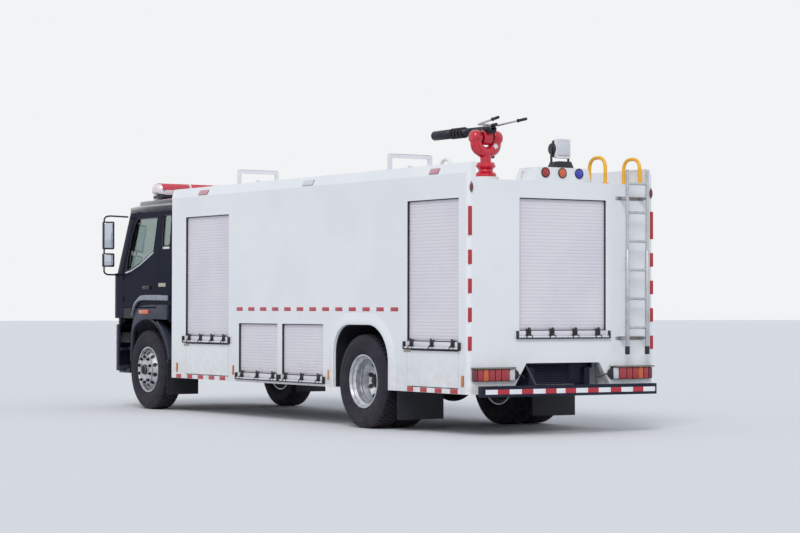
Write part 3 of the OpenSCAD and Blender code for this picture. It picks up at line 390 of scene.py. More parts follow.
def plate(name, points, thickness):
    """A flat outline pulled out by a thickness vector."""
    piece = trace(name, points)
    edit_all()
    bpy.ops.mesh.edge_face_add()
    bpy.ops.mesh.extrude_region_move(TRANSFORM_OT_translate={"value": thickness})
    leave_edit()
    return outward(piece)


def sheet(name, lines):
    """A surface through lines of points, each line with the same count."""
    strips = []
    for one, two in zip(lines, lines[1:]):
        strip = join(name, [trace(name, one), trace(name, two)])
        edit_all()
        bpy.ops.mesh.bridge_edge_loops()
        leave_edit()
        strips.append(strip)
    return outward(join(name, strips))


def tube(name, points, radius, closed=False, fine=3):
    """A round tube along points."""
    piece = trace(name, points)
    if closed:
        edit_all()
        bpy.ops.mesh.edge_face_add()
        bpy.ops.mesh.delete(type="ONLY_FACE")
        leave_edit()
    activate(piece)
    bpy.ops.object.convert(target="CURVE")
    line = bpy.context.object
    line.data.bevel_depth = radius
    line.data.bevel_resolution = fine
    line.data.use_fill_caps = not closed
    bpy.ops.object.convert(target="MESH")
    return outward(name_it(name))


def shift(piece, move=(0, 0, 0), turn=(0, 0, 0), about=(0, 0, 0)):
    """Turn the piece's mesh about a point by Euler angles, then move it."""
    activate(piece)
    here = Vector(about)
    turning = Matrix.Translation(here + Vector(move)) @ Matrix.Rotation(turn[2], 4,
            "Z") @ Matrix.Rotation(turn[1], 4, "Y") @ Matrix.Rotation(turn[0], 4,
            "X") @ Matrix.Translation(-here)
    piece.matrix_world = turning
    bpy.ops.object.transform_apply(location=True, rotation=True, scale=True)
    return piece


def copy(piece, name, move=(0, 0, 0)):
    """A copy with its own mesh, moved."""
    activate(piece)
    bpy.ops.object.duplicate(linked=False)
    return shift(name_it(name), move)


def mirrored(piece, name):
    """The copy of a piece on the other side of the vehicle."""
    twin = copy(piece, name)
    activate(twin)
    twin.scale = (1, -1, 1)
    bpy.ops.object.transform_apply(location=True, rotation=True, scale=True)
    edit_all()
    bpy.ops.mesh.normals_make_consistent(inside=False)
    leave_edit()
    return twin


def join(name, pieces):
    """Join pieces into one object."""
    deselect()
    for piece in pieces:
        piece.select_set(True)
    bpy.context.view_layer.objects.active = pieces[0]
    if len(pieces) > 1:
        bpy.ops.object.join()
    return name_it(name)


def cast(node, name):
    """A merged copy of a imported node's mesh as a new piece."""
    piece = copy(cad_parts[node], name)
    return outward(piece)


def trim(piece, tool):
    """Keep only what the piece shares with a tool piece."""
    modify(piece, "BOOLEAN", operation="INTERSECT", solver="EXACT", object=tool)
    bpy.data.objects.remove(tool)
    if not piece.data.polygons:
        raise RuntimeError(piece.name + " was cut away")
    return piece


def arc(centre, radius, start, end, steps):
    """Points of an arc in a plane, angles in degrees."""
    turns = [math.radians(start + (end - start) * i / steps) for i in range(steps + 1)]
    return [(centre[0] + radius * math.cos(a), centre[1] + radius * math.sin(a)) for a in turns]


def fit(piece, finish, body="vehicle", replaces=(), smooth=35):
    """Give a finished piece its material, smooth shading and body, and hide the imported nodes it replaces."""
    activate(piece)
    piece.data.materials.clear()
    piece.data.materials.append(FINISHES[finish].material)
    bpy.ops.object.shade_smooth_by_angle(angle=math.radians(smooth))
    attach(piece, body)
    if replaces:
        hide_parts(*replaces)
    deselect()
    return piece


def fit_pair(piece, finish, body="vehicle", replaces=()):
    """Fit a left piece and its mirrored copy, which rides on the body of the right."""
    right = mirrored(piece, piece.name + "_right")
    fit(piece, finish, body, replaces)
    fit(right, finish, body.replace("left", "right"))


def fit_both(piece, finish):
    """Fit a left piece and its mirrored copy, and name the left one so."""
    name = piece.name
    fit_pair(piece, finish)
    piece.name = name + "_left"


def on_side(u, v, z):
    """A place on the left side: ahead of the rear wall, out of the side, height."""
    return (REAR_WALL + u, SIDE + v, z)


def on_rear(u, v, z):
    """A place on the rear wall: to the left, out of the wall, height."""
    return (REAR_WALL - v, u, z)


def slab(name, spot, low, high):
    """A box in the coordinates of a side or the rear wall."""
    return block(name, spot(*low), spot(*high))


# Settings

def colour_setting(name, text, code):
    return FloatVectorProperty(name=name, description=text, subtype="COLOR", size=4, min=0, max=1,
            default=ink(code))


def length_setting(name, text, default, low, high):
    return FloatProperty(name=name, description=text, default=default, min=low, max=high, unit="LENGTH")


class FireTruckColours(bpy.types.PropertyGroup):
    body: colour_setting("Body white", "Enamel of the body", "#e6e8ea")
    cab: colour_setting("Cab", "Enamel of the cab", "#0d1226")
    monitor: colour_setting("Monitor red", "Enamel of the monitor", "#c8102e")
    hoops: colour_setting("Hoop yellow", "Paint of the grab hoops", "#f0b323")
    tape: colour_setting("Tape red", "Red of the reflecting tape", "#b30f28")
    floor: colour_setting("Floor", "Colour of the studio floor", "#dcdde0")


class FireTruckSizes(bpy.types.PropertyGroup):
    tape_height: length_setting("Tape width", "Width of the squares on the sill", 0.048, 0.02, 0.05)
    tape_thick: length_setting("Tape thickness", "Thickness of the tape", 0.0012, 0.0005, 0.003)
    tread_blocks: IntProperty(name="Tread blocks", description="Blocks round a tyre", default=56, min=30, max=80)
    tread_depth: length_setting("Tread depth", "Depth of the tread grooves", 0.013, 0.004, 0.02)
    nut_radius: length_setting("Nut radius", "Radius over a wheel nut's corners", 0.0185, 0.012, 0.022)
    stud_circle: length_setting("Stud circle", "Radius of the circle of studs", 0.1675, 0.14, 0.18)
    rail_radius: length_setting("Lift rail", "Radius of a shutter's lift rail", 0.013, 0.008, 0.018)
    lens_depth: length_setting("Lens depth", "How far a tail lamp's lens stands out", 0.012, 0.004, 0.03)


# Finishes

class FIRETRUCK_OT_finishes(bpy.types.Operator):
    """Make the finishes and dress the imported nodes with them"""
    bl_idname = "firetruck.finishes"
    bl_label = "Finishes"

    def execute(self, context):
        paints()
        metals()
        plastics()
        lenses()
        dress_nodes()
        return {"FINISHED"}


def paints():
    colours = bpy.context.scene.truck_colours
    # Two-pack enamel sprayed on steel sheet: smooth and glossy, a slight orange peel, dust towards the wheels
    surface("white_two_pack_enamel", "white_paint", colours.body, rough=0.3, ior=1.5, coat=0.35,
            coat_rough=0.12, patches=(0.9, "#d9dce3", 0.5), dust=("#b5ac9c", 0.42, 0.95, 0.35),
            grain=("cloud", (0.006, 1.0), 0.00012, 0.25))
    # The same enamel on the roof, with the grime that stays where nobody washes
    surface("white_enamel_roof", "white_paint", colours.body, rough=0.45, ior=1.5,
            patches=(0.35, "#c4c3bd", 0.5), grain=("cells", (0.03,), 0.0012, 0.5))
    # Enamel of the cab. Its gloss is held back, because a pale room would turn it grey
    surface("dark_blue_cab_enamel", "cab_paint", colours.cab, rough=0.24, ior=1.25, shine=0.12,
            patches=(0.6, "#12172c", 0.6), dust=("#3a3a44", 1.1, 1.6, 0.2))
    # The same enamel where it faces the sky and mirrors it; its pale blue-grey patches are a painted reflection of
    # the sky
    surface("dark_blue_roof_enamel_painted_reflection", "cab_paint", colours.cab, rough=0.22, ior=1.5, coat=1.0, coat_rough=0.05,
            patches=(0.3, "#3a3f52", 0.6))
    # Satin chassis paint, thick and a little dusty
    surface("satin_chassis_paint", "chassis_paint", "#10152b", rough=0.5, ior=1.5, shine=0.25,
            patches=(0.12, "#1d2233", 0.6), dust=("#3c3a40", 0.3, 0.7, 0.25),
            grain=("cloud", (0.008,), 0.0004, 0.3))
    # Red enamel on cast aluminium
    surface("red_cast_enamel", "monitor_red", colours.monitor, rough=0.28, ior=1.5, coat=0.6, coat_rough=0.1,
            patches=(0.12, "#a30d26", 0.4), grain=("cloud", (0.01,), 0.0004, 0.35))
    # Yellow powder coat on steel tube
    surface("yellow_powder_coat", "hoop_yellow", colours.hoops, rough=0.38, ior=1.5,
            patches=(0.08, "#d99a18", 0.5), grain=("cloud", (0.004,), 0.0003, 0.3))
    # Silver wheel lacquer: metal flakes in a dull binder, brake dust in the corners
    surface("silver_wheel_lacquer", "rim_paint", "#c9ccd2", metal=0.65, rough=0.36,
            patches=(0.06, "#8f8a80", 0.55), grain=("cloud", (0.005,), 0.0002, 0.3))


def metals():
    # Anodised aluminium slats: dull and even, faint lines from the rolls
    # Anodised aluminium slats: dull and even, faint lines from the rolls
    surface("anodised_shutter_slats", "shutter_aluminium", "#dddae0", metal=0.06, rough=0.5,
            patches=(0.5, "#d3d0d9", 0.6), dust=("#a9a196", 0.42, 0.9, 0.25),
            grain=("cloud", (0.003, 1.0), 0.0001, 0.2))
    # Mill-finish aluminium tube with fine draw marks
    surface("mill_finish_aluminium", "ladder_metal", "#c6c8cc", metal=0.9, rough=0.34,
            patches=(0.07, "#9a9ca0", 0.5), grain=("cloud", (0.002,), 0.0002, 0.3))
    # Chrome plate on the shutter rails and the window strip
    surface("chrome_plate", "bar_steel", "#e4e6ea", metal=1.0, rough=0.16, patches=(0.04, "#b9bcc2", 0.4),
            gloss=(0.03, 0.1, 0.28))
    # Galvanised flat bar, with its grey spangle
    surface("galvanised_flat_bar", "ladder_metal", "#8d8a86", metal=0.75, rough=0.5,
            patches=(0.012, "#6e6862", 0.7), gloss=(0.01, 0.35, 0.65))
    # Cast iron of the axles, rough from the sand mould
    surface("sand_cast_iron", "cast_iron", "#22232a", metal=0.3, rough=0.62, patches=(0.05, "#3d3a36", 0.6),
            grain=("cloud", (0.004,), 0.0006, 0.5))
    # Painted steel sheet of the fuel tank and the air tanks
    surface("painted_tank_steel", "tank_metal", "#2b2f3a", metal=0.2, rough=0.42,
            patches=(0.15, "#3b3e48", 0.6), dust=("#6b6458", 0.4, 0.8, 0.4))
    # Black anodised barrel of the monitor
    surface("black_anodised_barrel", "barrel_black", "#24252e", metal=0.5, rough=0.33,
            patches=(0.06, "#3a3b44", 0.5), gloss=(0.02, 0.25, 0.45))
    # Steel of nuts and bolts, oily dark
    surface("oiled_steel_nuts", "rim_paint", "#1c1d24", metal=0.7, rough=0.42, patches=(0.01, "#4a4038", 0.5))


def plastics():
    # Tyre rubber: carbon black, dull, browned by dust on the tread
    # Tyre rubber: carbon black, dull, browned by dust on the tread
    surface("carbon_black_tyre_rubber", "tyre", "#1f1d28", rough=0.75, ior=1.52, shine=0.35,
            patches=(0.1, "#302d38", 0.7), dust=("#4d4848", 0.0, 0.3, 0.4),
            grain=("cloud", (0.004,), 0.0004, 0.4))
    # Rubber sheet and seals
    surface("black_seal_rubber", "rubber", "#14161f", rough=0.6, ior=1.52, patches=(0.05, "#23252e", 0.5),
            grain=("cloud", (0.003,), 0.0003, 0.3))
    # Moulded polypropylene of the wheel arches: dark grey with a fine leather grain
    surface("grained_grey_polypropylene", "grey_plastic", "#2f3342", rough=0.5, ior=1.49, shine=0.4,
            patches=(0.25, "#3a3e4d", 0.7), dust=("#55525a", 0.4, 1.2, 0.25),
            grain=("cells", (0.002,), 0.0003, 0.3))
    # The paler mould-in-colour ledge above it
    surface("pale_grey_polypropylene", "grey_plastic", "#8f93a0", rough=0.42, ior=1.49,
            patches=(0.2, "#7c808c", 0.6), grain=("cells", (0.002,), 0.0002, 0.3))
    # Black ABS of mirrors, catches and cab trim
    surface("black_moulded_abs", "trim_black", "#101219", rough=0.36, ior=1.53, patches=(0.05, "#1d2029", 0.6),
            grain=("cells", (0.0015,), 0.0002, 0.25))
    # Woven seat cloth, threads about 1 mm apart, drawn at 3 mm so that they show
    surface("woven_seat_cloth", "trim_black", "#3a3c44", rough=0.85, sheen=0.3, patches=(0.08, "#4c4f58", 0.6),
            grain=("cells", (0.003,), 0.0006, 0.5))
    # White housing of the searchlight, polyester powder coat
    surface("white_powder_coat", "light_silver", "#dfe1e4", rough=0.4, ior=1.5, patches=(0.05, "#c9cbcf", 0.5),
            grain=("cloud", (0.003,), 0.0002, 0.3))
    # Blank label film
    surface("blank_label_film", "bar_steel", "#b9aaa0", rough=0.45, ior=1.5, patches=(0.02, "#8f827c", 0.6))


def lenses():
    colours = bpy.context.scene.truck_colours
    # Prism reflecting tape: small cells under a clear film, drawn at 8 mm so that they show
    for name, colour, dark in (("red_reflecting_tape", colours.tape, "#8e0f22"),
            ("white_reflecting_tape", ink("#e9ebee"), "#b9bdc6")):
        tape = surface(name, "white_paint", colour, rough=0.3, ior=1.5, coat=0.5, coat_rough=0.1)
        edge = add_node(tape.tree, "ShaderNodeMapRange", {"From Max": 0.06, "To Min": 0.7, "To Max": 0.0},
                {"Value": tape.cells(0.008)})
        tape.blend(edge.outputs[0], ink(dark))
    # Acrylic lenses, moulded with prisms on their inner face
    for name, colour, dark, slot in (("red_lens_acrylic", "#b01226", "#6a0a18", "lamp_lens"),
            ("amber_lens_acrylic", "#d8602a", "#9c4216", "lamp_lens"),
            ("dull_amber_acrylic", "#c98048", "#a05e30", "lamp_lens"),
            ("clear_lens_acrylic", "#d9dbe0", "#8f939c", "lamp_lens"),
            ("blue_lens_acrylic", "#2438c0", "#141f78", "lamp_lens"),
            ("dark_red_lens_acrylic", "#6d1830", "#3a0c1a", "lamp_lens"),
            ("pink_strip_lens", "#c98a98", "#a86878", "lamp_lens"),
            ("light_bar_red", "#d83048", "#a01830", "bar_red"),
            ("light_bar_clear", "#ece2e6", "#d8c4cc", "bar_red")):
        lens = surface(name, slot, colour, rough=0.18, ior=1.49, coat=0.8, coat_rough=0.05, milk=0.15,
                milk_depth=0.01)
        ribs = lens.ribs(0.012, "Z")
        share = add_node(lens.tree, "ShaderNodeMapRange", {"To Max": 0.5}, {"Value": ribs})
        lens.blend(share.outputs[0], ink(dark))
        lens.relief(ribs, 0.0008, 0.4)
    # Laminated safety glass, faintly green
    surface("laminated_safety_glass", "glass", "#b2c0bc", rough=0.02, ior=1.5, clear=1.0,
            grain=("cloud", (0.4,), 0.0002, 0.05))
    # Second-surface mirror glass
    surface("mirror_glass", "glass", "#c9d2dc", metal=1.0, rough=0.04, patches=(0.2, "#b3bec9", 0.4))


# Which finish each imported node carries
NODE_FINISHES = {
    "white_two_pack_enamel": ("body_side_left", "body_side_right", "body_ends", "flap_front_left", "flap_front_right",
                              "flap_rear_left", "flap_rear_right", "hatch_lid", "hatch_neck", "roof_racks"),
    "white_enamel_roof": ("roof_deck",),
    "anodised_shutter_slats": ("shutters",),
    "dark_blue_cab_enamel": ("cab_back", "cab_sides", "cab_front", "door_left", "door_right"),
    "dark_blue_roof_enamel_painted_reflection": ("cab_roof",),
    "satin_chassis_paint": ("frame", "body_floor", "rear_bumper", "front_bumper"),
    "red_cast_enamel": ("monitor_base", "monitor_yoke"),
    "yellow_powder_coat": ("grab_hoops",),
    "silver_wheel_lacquer": ("rim_front_left", "rim_front_right", "rim_rear_left", "rim_rear_right"),
    "mill_finish_aluminium": ("ladder",),
    "sand_cast_iron": ("front_axle", "rear_axle", "driveline", "tie_rod", "knuckle_left", "knuckle_right"),
    "painted_tank_steel": ("chassis_tanks",),
    "black_anodised_barrel": ("monitor_barrel",),
    "carbon_black_tyre_rubber": ("tyre_front_left", "tyre_front_right", "tyre_rear_left", "tyre_rear_right"),
    "black_seal_rubber": ("mudflaps", "cab_floor"),
    "grained_grey_polypropylene": ("fenders",),
    "black_moulded_abs": ("lamps", "searchlight_yoke", "mirrors", "steering_wheel"),
    "woven_seat_cloth": ("cab_interior",),
    "white_powder_coat": ("searchlight_head",),
    "chrome_plate": ("shutter_bars",),
    "laminated_safety_glass": ("cab_glass", "door_glass_left", "door_glass_right"),
    "light_bar_clear": ("light_bar",),
}


def dress_nodes():
    for finish, names in NODE_FINISHES.items():
        for name in names:
            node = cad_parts[name]
            node.data.materials.clear()
            node.data.materials.append(FINISHES[finish].material)


# Tyres and wheels

# Half of a tyre's section: radius, distance from its middle
TYRE_SECTION = ((0.2870, 0.1150), (0.2990, 0.1168), (0.3120, 0.1275), (0.3250, 0.1340), (0.3300, 0.1325),
                (0.3350, 0.1362), (0.3760, 0.1462), (0.4170, 0.1486), (0.4370, 0.1466), (0.4400, 0.1482),
                (0.4460, 0.1476), (0.4490, 0.1450), (0.4720, 0.1405), (0.4960, 0.1320), (0.5070, 0.1215))
# Rows of tread blocks: inner edge, outer edge, height of the outer edge
TREAD_ROWS = ((-0.019, 0.019, 0.5212), (0.028, 0.064, 0.5210), (0.073, 0.118, 0.5165),
              (-0.064, -0.028, 0.5210), (-0.118, -0.073, 0.5165))


def tyre(name):
    """One tyre at the origin, its axis along Y."""
    sizes = bpy.context.scene.truck_sizes
    base = 0.522 - sizes.tread_depth
    half = list(TYRE_SECTION) + [(base, 0.116)]
    section = half + [(r, -y) for r, y in reversed(half)]
    points = [(r, y, 0) for r, y in section] + [(0.3000, -0.1000, 0), (0.4700, -0.1200, 0), (0.4850, 0, 0),
            (0.4700, 0.1200, 0), (0.3000, 0.1000, 0), (section[0][0], section[0][1], 0)]
    parts = [turned(name, points, steps=96)]
    across = math.pi * base / sizes.tread_blocks * 0.82
    for i, (inner, outer, edge) in enumerate(TREAD_ROWS):
        lug = block(name + "_lug", (-across, inner, base - 0.004), (across, outer, 0.5212))
        if edge < 0.52:
            side = 1 if outer > 0 else -1
            pick(lug, lambda centre, normal: abs(normal.y) > 0.9 and centre.y * side > 0.1)
            bpy.ops.transform.resize(value=(0.9, 1, 0.7))
            bpy.ops.transform.translate(value=(0, 0, -0.0025))
            leave_edit()
        shift(lug, turn=(0, (i % 2) * math.pi / sizes.tread_blocks, 0))
        parts.append(ring(lug, sizes.tread_blocks, (0, 0, 0), (0, 1, 0)))
    return join(name, parts)


class FIRETRUCK_OT_tyres(bpy.types.Operator):
    """Make one tyre with its tread and copy it to the six places"""
    bl_idname = "firetruck.tyres"
    bl_label = "Tyres"

    def execute(self, context):
        first = tyre("tread_tyre")
        for side, s in (("left", 1), ("right", -1)):
            front = copy(first, "tread_tyre_front_" + side, (FRONT_AXLE, s * FRONT_TYRE_Y, AXLE_Z))
            fit(front, "carbon_black_tyre_rubber", "wheel_front_" + side, ("tyre_front_" + side,))
            pair = [copy(first, "pair", (REAR_AXLE, s * y, AXLE_Z)) for y in (OUTER_TYRE_Y, INNER_TYRE_Y)]
            fit(join("tread_tyre_rear_" + side, pair), "carbon_black_tyre_rubber", "wheel_rear_" + side,
                    ("tyre_rear_" + side,))
        bpy.data.objects.remove(first)
        return {"FINISHED"}


class FIRETRUCK_OT_wheel_nuts(bpy.types.Operator):
    """Put the nuts, valves and hub caps on the wheels"""
    bl_idname = "firetruck.wheel_nuts"
    bl_label = "Wheel nuts and caps"

    def execute(self, context):
        sizes = context.scene.truck_sizes
        front_face = FRONT_TYRE_Y + 0.165
        rear_face = OUTER_TYRE_Y - 0.151
        for place, x, face, cap, body in (("front", FRONT_AXLE, front_face, 0.063, "wheel_front_"),
                ("rear", REAR_AXLE, rear_face, 0.072, "wheel_rear_")):
            top = AXLE_Z + sizes.stud_circle
            nut = inset(rod("nut", (x, face - 0.002, top), (x, face + 0.024, top), sizes.nut_radius, 6),
                    LEFTWARD, 0.003, 0.0015)
            flange = rod("flange", (x, face - 0.002, top), (x, face + 0.005, top), sizes.nut_radius * 1.25, 16)
            stud = soften(rod("stud", (x, face + 0.02, top), (x, face + 0.038, top), sizes.nut_radius * 0.55,
                        12), 0.002)
            nuts = ring(join("nuts_" + place, [nut, flange, stud]), 10, (x, 0, AXLE_Z), (0, 1, 0))
            outer = face + (0.034 if place == "front" else 0.126)
            rim_cap = turned("hub_cap_" + place, [(x + u, outer + v, AXLE_Z)
                        for u, v in ((0, 0.010), (cap * 0.5, 0.009), (cap * 0.86, 0.002), (cap, -0.008),
                            (cap + 0.004, -0.012), (cap + 0.004, -0.026), (0, -0.026))], (x, 0, AXLE_Z),
                    steps=40)
            bolt = rod("cap_bolt", (x + cap - 0.012, outer - 0.006, AXLE_Z),
                    (x + cap - 0.012, outer + 0.006, AXLE_Z), 0.006, 6)
            bolts = ring(bolt, 8, (x, 0, AXLE_Z), (0, 1, 0))
            # Black discs in the hand holes: painted shade where one looks through the dished disc to the drum behind
            vent_y, rise = (FRONT_TYRE_Y + 0.121, 0.0022) if place == "front" else (OUTER_TYRE_Y - 0.099,
                    -0.0022)
            vent = inset(rod("vent", (x, vent_y - 0.004, AXLE_Z + 0.206 - 2 * rise),
                        (x, vent_y + 0.002, AXLE_Z + 0.206 + rise), 0.028, 18),
                    lambda centre, normal: normal.y > 0.5, 0.004, -0.002)
            vents = ring(vent, 10, (x, 0, AXLE_Z), (0, 1, 0))
            ring_plate = turned("nut_ring_" + place, [(x + u, face + v, AXLE_Z)
                        for u, v in ((0.140, -0.004), (0.142, 0.004), (0.193, 0.004), (0.196, -0.008),
                            (0.140, -0.004))], (x, 0, AXLE_Z), steps=64)
            valve = tube("valve_" + place, [(x, face + v, AXLE_Z + r)
                        for v, r in ((-0.01, 0.225), (0.012, 0.228), (0.035, 0.24))], 0.005)
            for part, finish in ((join("wheel_nuts_" + place, [nuts, bolts]), "oiled_steel_nuts"),
                    (join("wheel_cap_" + place, [rim_cap, valve]), "oiled_steel_nuts"),
                    (join("wheel_vents_" + place, [vents]), "black_seal_rubber"),
                    (ring_plate, "silver_wheel_lacquer")):
                fit_pair(part, finish, body + "left")
        return {"FINISHED"}


# Markings

# Lower edge of the squares on the locker trays
LOWER_TAPE = 0.4425
# Red squares along the lower edge: rear end and front end, ahead of the rear wall
LOWER_SQUARES = ((6.496, 6.637), (6.192, 6.329), (5.892, 6.041), (5.598, 5.744), (5.309, 5.453),
                 (1.044, 1.163), (0.780, 0.906), (0.492, 0.625), (0.191, 0.331))
# Red bars on the rear corners: lower end, upper end
CORNER_BARS = ((2.091, 2.391), (1.791, 1.940), (1.491, 1.640), (1.192, 1.340), (0.895, 1.041))
# Edges of the bumper's fields from left to right, white first
BUMPER_EDGES = (1.099, 0.946, 0.797, 0.641, 0.493, 0.336, 0.193, 0.077, -0.064, -0.220, -0.363, -0.524, -0.668,
                -0.825, -0.967, -1.128)
SIDE_TAPE = (1.345, 5.030, 1.299, 1.343)
SIDE_PITCH = 0.293
SIDE_RED = 0.155


class FIRETRUCK_OT_tape(bpy.types.Operator):
    """Lay the reflecting tape on the sides, the corners and the bumper"""
    bl_idname = "firetruck.tape"
    bl_label = "Reflecting tape"

    def execute(self, context):
        thick = context.scene.truck_sizes.tape_thick
        start, end, low, high = SIDE_TAPE
        film = inset(slab("side_film", on_side, (start, -0.0005, low), (end, thick * 0.6, high)), LEFTWARD,
                0.0015, 0.0003)
        square = inset(slab("side_square", on_side, (start, 0, low), (start + SIDE_RED, thick, high)), LEFTWARD,
                0.002, 0.0004)
        squares = [row(square, (SIDE_PITCH, 0, 0), 13)]
        for rear, front in LOWER_SQUARES:
            mark = slab("lower_square", on_side, (rear, -0.0005, LOWER_TAPE),
                    (front, thick, LOWER_TAPE + context.scene.truck_sizes.tape_height))
            squares.append(inset(mark, LEFTWARD, 0.002, 0.0004))
        for low, high in CORNER_BARS:
            bar = inset(slab("corner_bar", on_rear, (1.173, -0.006, low), (1.2185, thick, high)), BACKWARD,
                    0.002, 0.0004)
            squares.append(bar)
        fit_both(film, "white_reflecting_tape")
        fit_both(join("red_tape", squares), "red_reflecting_tape")
        fields = {"white": [], "red": []}
        face = REAR_WALL - BUMPER_REAR
        for i, (left, right) in enumerate(zip(BUMPER_EDGES, BUMPER_EDGES[1:])):
            field = inset(slab("bumper_field", on_rear, (left, face - 0.0005, 0.443),
                        (right, face + 0.0008, 0.493)), BACKWARD, 0.002, 0.0002)
            fields["red" if i % 2 else "white"].append(field)
        fit(join("bumper_tape_white", fields["white"]), "white_reflecting_tape")
        fit(join("bumper_tape_red", fields["red"]), "red_reflecting_tape")
        rivets = []
        for right in BUMPER_EDGES[1::2]:
            rivet = turned("rivet", [on_rear(right + 0.018, face + 0.0018, 0.470),
                        on_rear(right + 0.021, face + 0.0014, 0.470), on_rear(right + 0.0225, face, 0.470)],
                    on_rear(right + 0.018, 0, 0.470), (1, 0, 0), 10)
            rivets.append(rivet)
        fit(join("bumper_rivets", rivets), "oiled_steel_nuts")
        return {"FINISHED"}


# Shutters

BAR_OVERHANG = 0.045


def shutter_bar(spot, start, end, low, catches):
    """The lift bar of one shutter in three groups: its lid, black parts, bright parts."""
    radius = bpy.context.scene.truck_sizes.rail_radius
    first, last = start - BAR_OVERHANG, end + BAR_OVERHANG
    rail = rod("rail", spot(first + 0.010, 0.016, low + 0.022), spot(last - 0.010, 0.016, low + 0.022), radius,
            16)
    lid = soften(slab("lid", spot, (start + 0.004, -0.028, low + 0.034), (end - 0.004, 0.002, low + 0.088)),
            0.003)
    gasket = soften(slab("gasket", spot, (first, 0.0015, low + 0.001), (last, 0.026, low + 0.009)), 0.002)
    sill = slab("sill", spot, (start + 0.002, -0.028, low + 0.001), (end - 0.002, 0.002, low + 0.034))
    line = soften(slab("line", spot, (start + 0.002, -0.026, low + 0.088), (end - 0.002, 0.004, low + 0.097)),
            0.0015)
    black = [gasket, line]
    bright = [rail, soften(sill, 0.002)]
    for i in range(catches):
        middle = start + (end - start) * (0.1 + 0.8 * i / (catches - 1))
        body = soften(inset(slab("catch", spot, (middle - 0.031, -0.010, low + 0.038),
                        (middle + 0.031, 0.014, low + 0.108)),
                    lambda centre, normal: (centre - Vector(spot(middle, 0.014, low + 0.073))).length < 0.01,
                    0.008, 0.006), 0.005)
        thumb = soften(slab("thumb", spot, (middle - 0.015, 0.014, low + 0.078),
                    (middle + 0.015, 0.024, low + 0.122)), 0.004)
        lever = rod("lever", spot(middle - 0.012, 0.022, low + 0.068), spot(middle + 0.046, 0.024, low + 0.016),
                0.0075, 10)
        black += [body, thumb, lever]
        for at in (middle - 0.036, middle + 0.036):
            foot = slab("foot", spot, (at - 0.006, 0.001, low + 0.006), (at + 0.006, 0.030, low + 0.040))
            black.append(soften(foot, 0.003))
    for edge, way in ((first, 1), (last, -1)):
        cheek = soften(inset(slab("cheek", spot, (edge, 0.0015, low + 0.004),
                        (edge + way * 0.022, 0.030, low + 0.086)),
                    lambda centre, normal: (centre - Vector(spot(edge + way * 0.011, 0.030,
                                low + 0.045))).length < 0.004, 0.005, 0.004), 0.003)
        black.append(cheek)
    return lid, black, bright


class FIRETRUCK_OT_shutter_fittings(bpy.types.Operator):
    """Make the lift bars, the jamb seals, whose black also paints the shade in the recesses, and the frames of the
    shutters
    """
    bl_idname = "firetruck.shutter_fittings"
    bl_label = "Shutter fittings"

    def execute(self, context):
        lids, blacks, pins = [], [], []
        jambs, frames = [], []
        for start, end, low, top, catches in SIDE_SHUTTERS:
            lid, black, pin = shutter_bar(on_side, start, end, low, catches)
            lids.append(lid)
            blacks += black
            pins += pin
            jambs += self.jamb(on_side, start, end, low + 0.1, top)
            frames += self.surround(on_side, start, end, low, top)
        for group, name, finish in ((lids, "bar_slats", "anodised_shutter_slats"),
                (blacks, "bar_catches", "black_moulded_abs"), (pins, "bar_rails", "chrome_plate"),
                (jambs, "jamb_seals_and_shade", "black_seal_rubber"), (frames, "shutter_frames",
                    "white_two_pack_enamel")):
            fit_both(join(name, group), finish)
        start, end, low, top, catches = REAR_SHUTTER
        lid, black, pin = shutter_bar(on_rear, start, end, low, catches)
        fit(lid, "anodised_shutter_slats").name = "rear_bar_slat"
        fit(join("rear_bar_rail", pin), "chrome_plate", replaces=("shutter_bars",))
        # The rear opening's black jamb seals, which also paint the shade in its recess, join the catches
        fit(join("rear_bar_catches", black + self.jamb(on_rear, start, end, low + 0.1, top)),
                "black_moulded_abs")
        fit(join("rear_shutter_frame", self.surround(on_rear, start, end, low, top, 0.048, 0.005)),
                "white_two_pack_enamel")
        return {"FINISHED"}

    def jamb(self, spot, start, end, low, top):
        """The black seals at both jambs and the head of an opening, whose black also paints the shade in the recess.
        """
        parts = [slab("jamb", spot, (edge, -0.0275, low), (edge + way * 0.006, -0.003, top - 0.001))
                for edge, way in ((start, 1), (end, -1))]
        parts.append(slab("head", spot, (start + 0.006, -0.0275, top - 0.009),
                    (end - 0.006, -0.012, top - 0.001)))
        return [soften(part, 0.0015) for part in parts]

    def surround(self, spot, start, end, low, top, width=0.026, proud=0.0022):
        """The thin pressed frame round an opening."""
        parts = [slab("frame", spot, (start - width, -0.0005, low + 0.02), (start - 0.001, proud, top + width)),
                slab("frame", spot, (end + 0.001, -0.0005, low + 0.02), (end + width, proud, top + width)),
                slab("frame", spot, (start - 0.001, -0.0005, top + 0.001), (end + 0.001, proud, top + width))]
        return [soften(part, 0.0012, 1) for part in parts]


# A slat's face from its lower edge: share of the pitch, depth behind the curtain's face
SLAT_FACE = ((0.0, 0.0016), (0.04, 0.0006), (0.16, 0.0), (0.84, 0.0), (0.93, 0.0005), (0.96, 0.0016))
SLAT_PITCH = 0.036


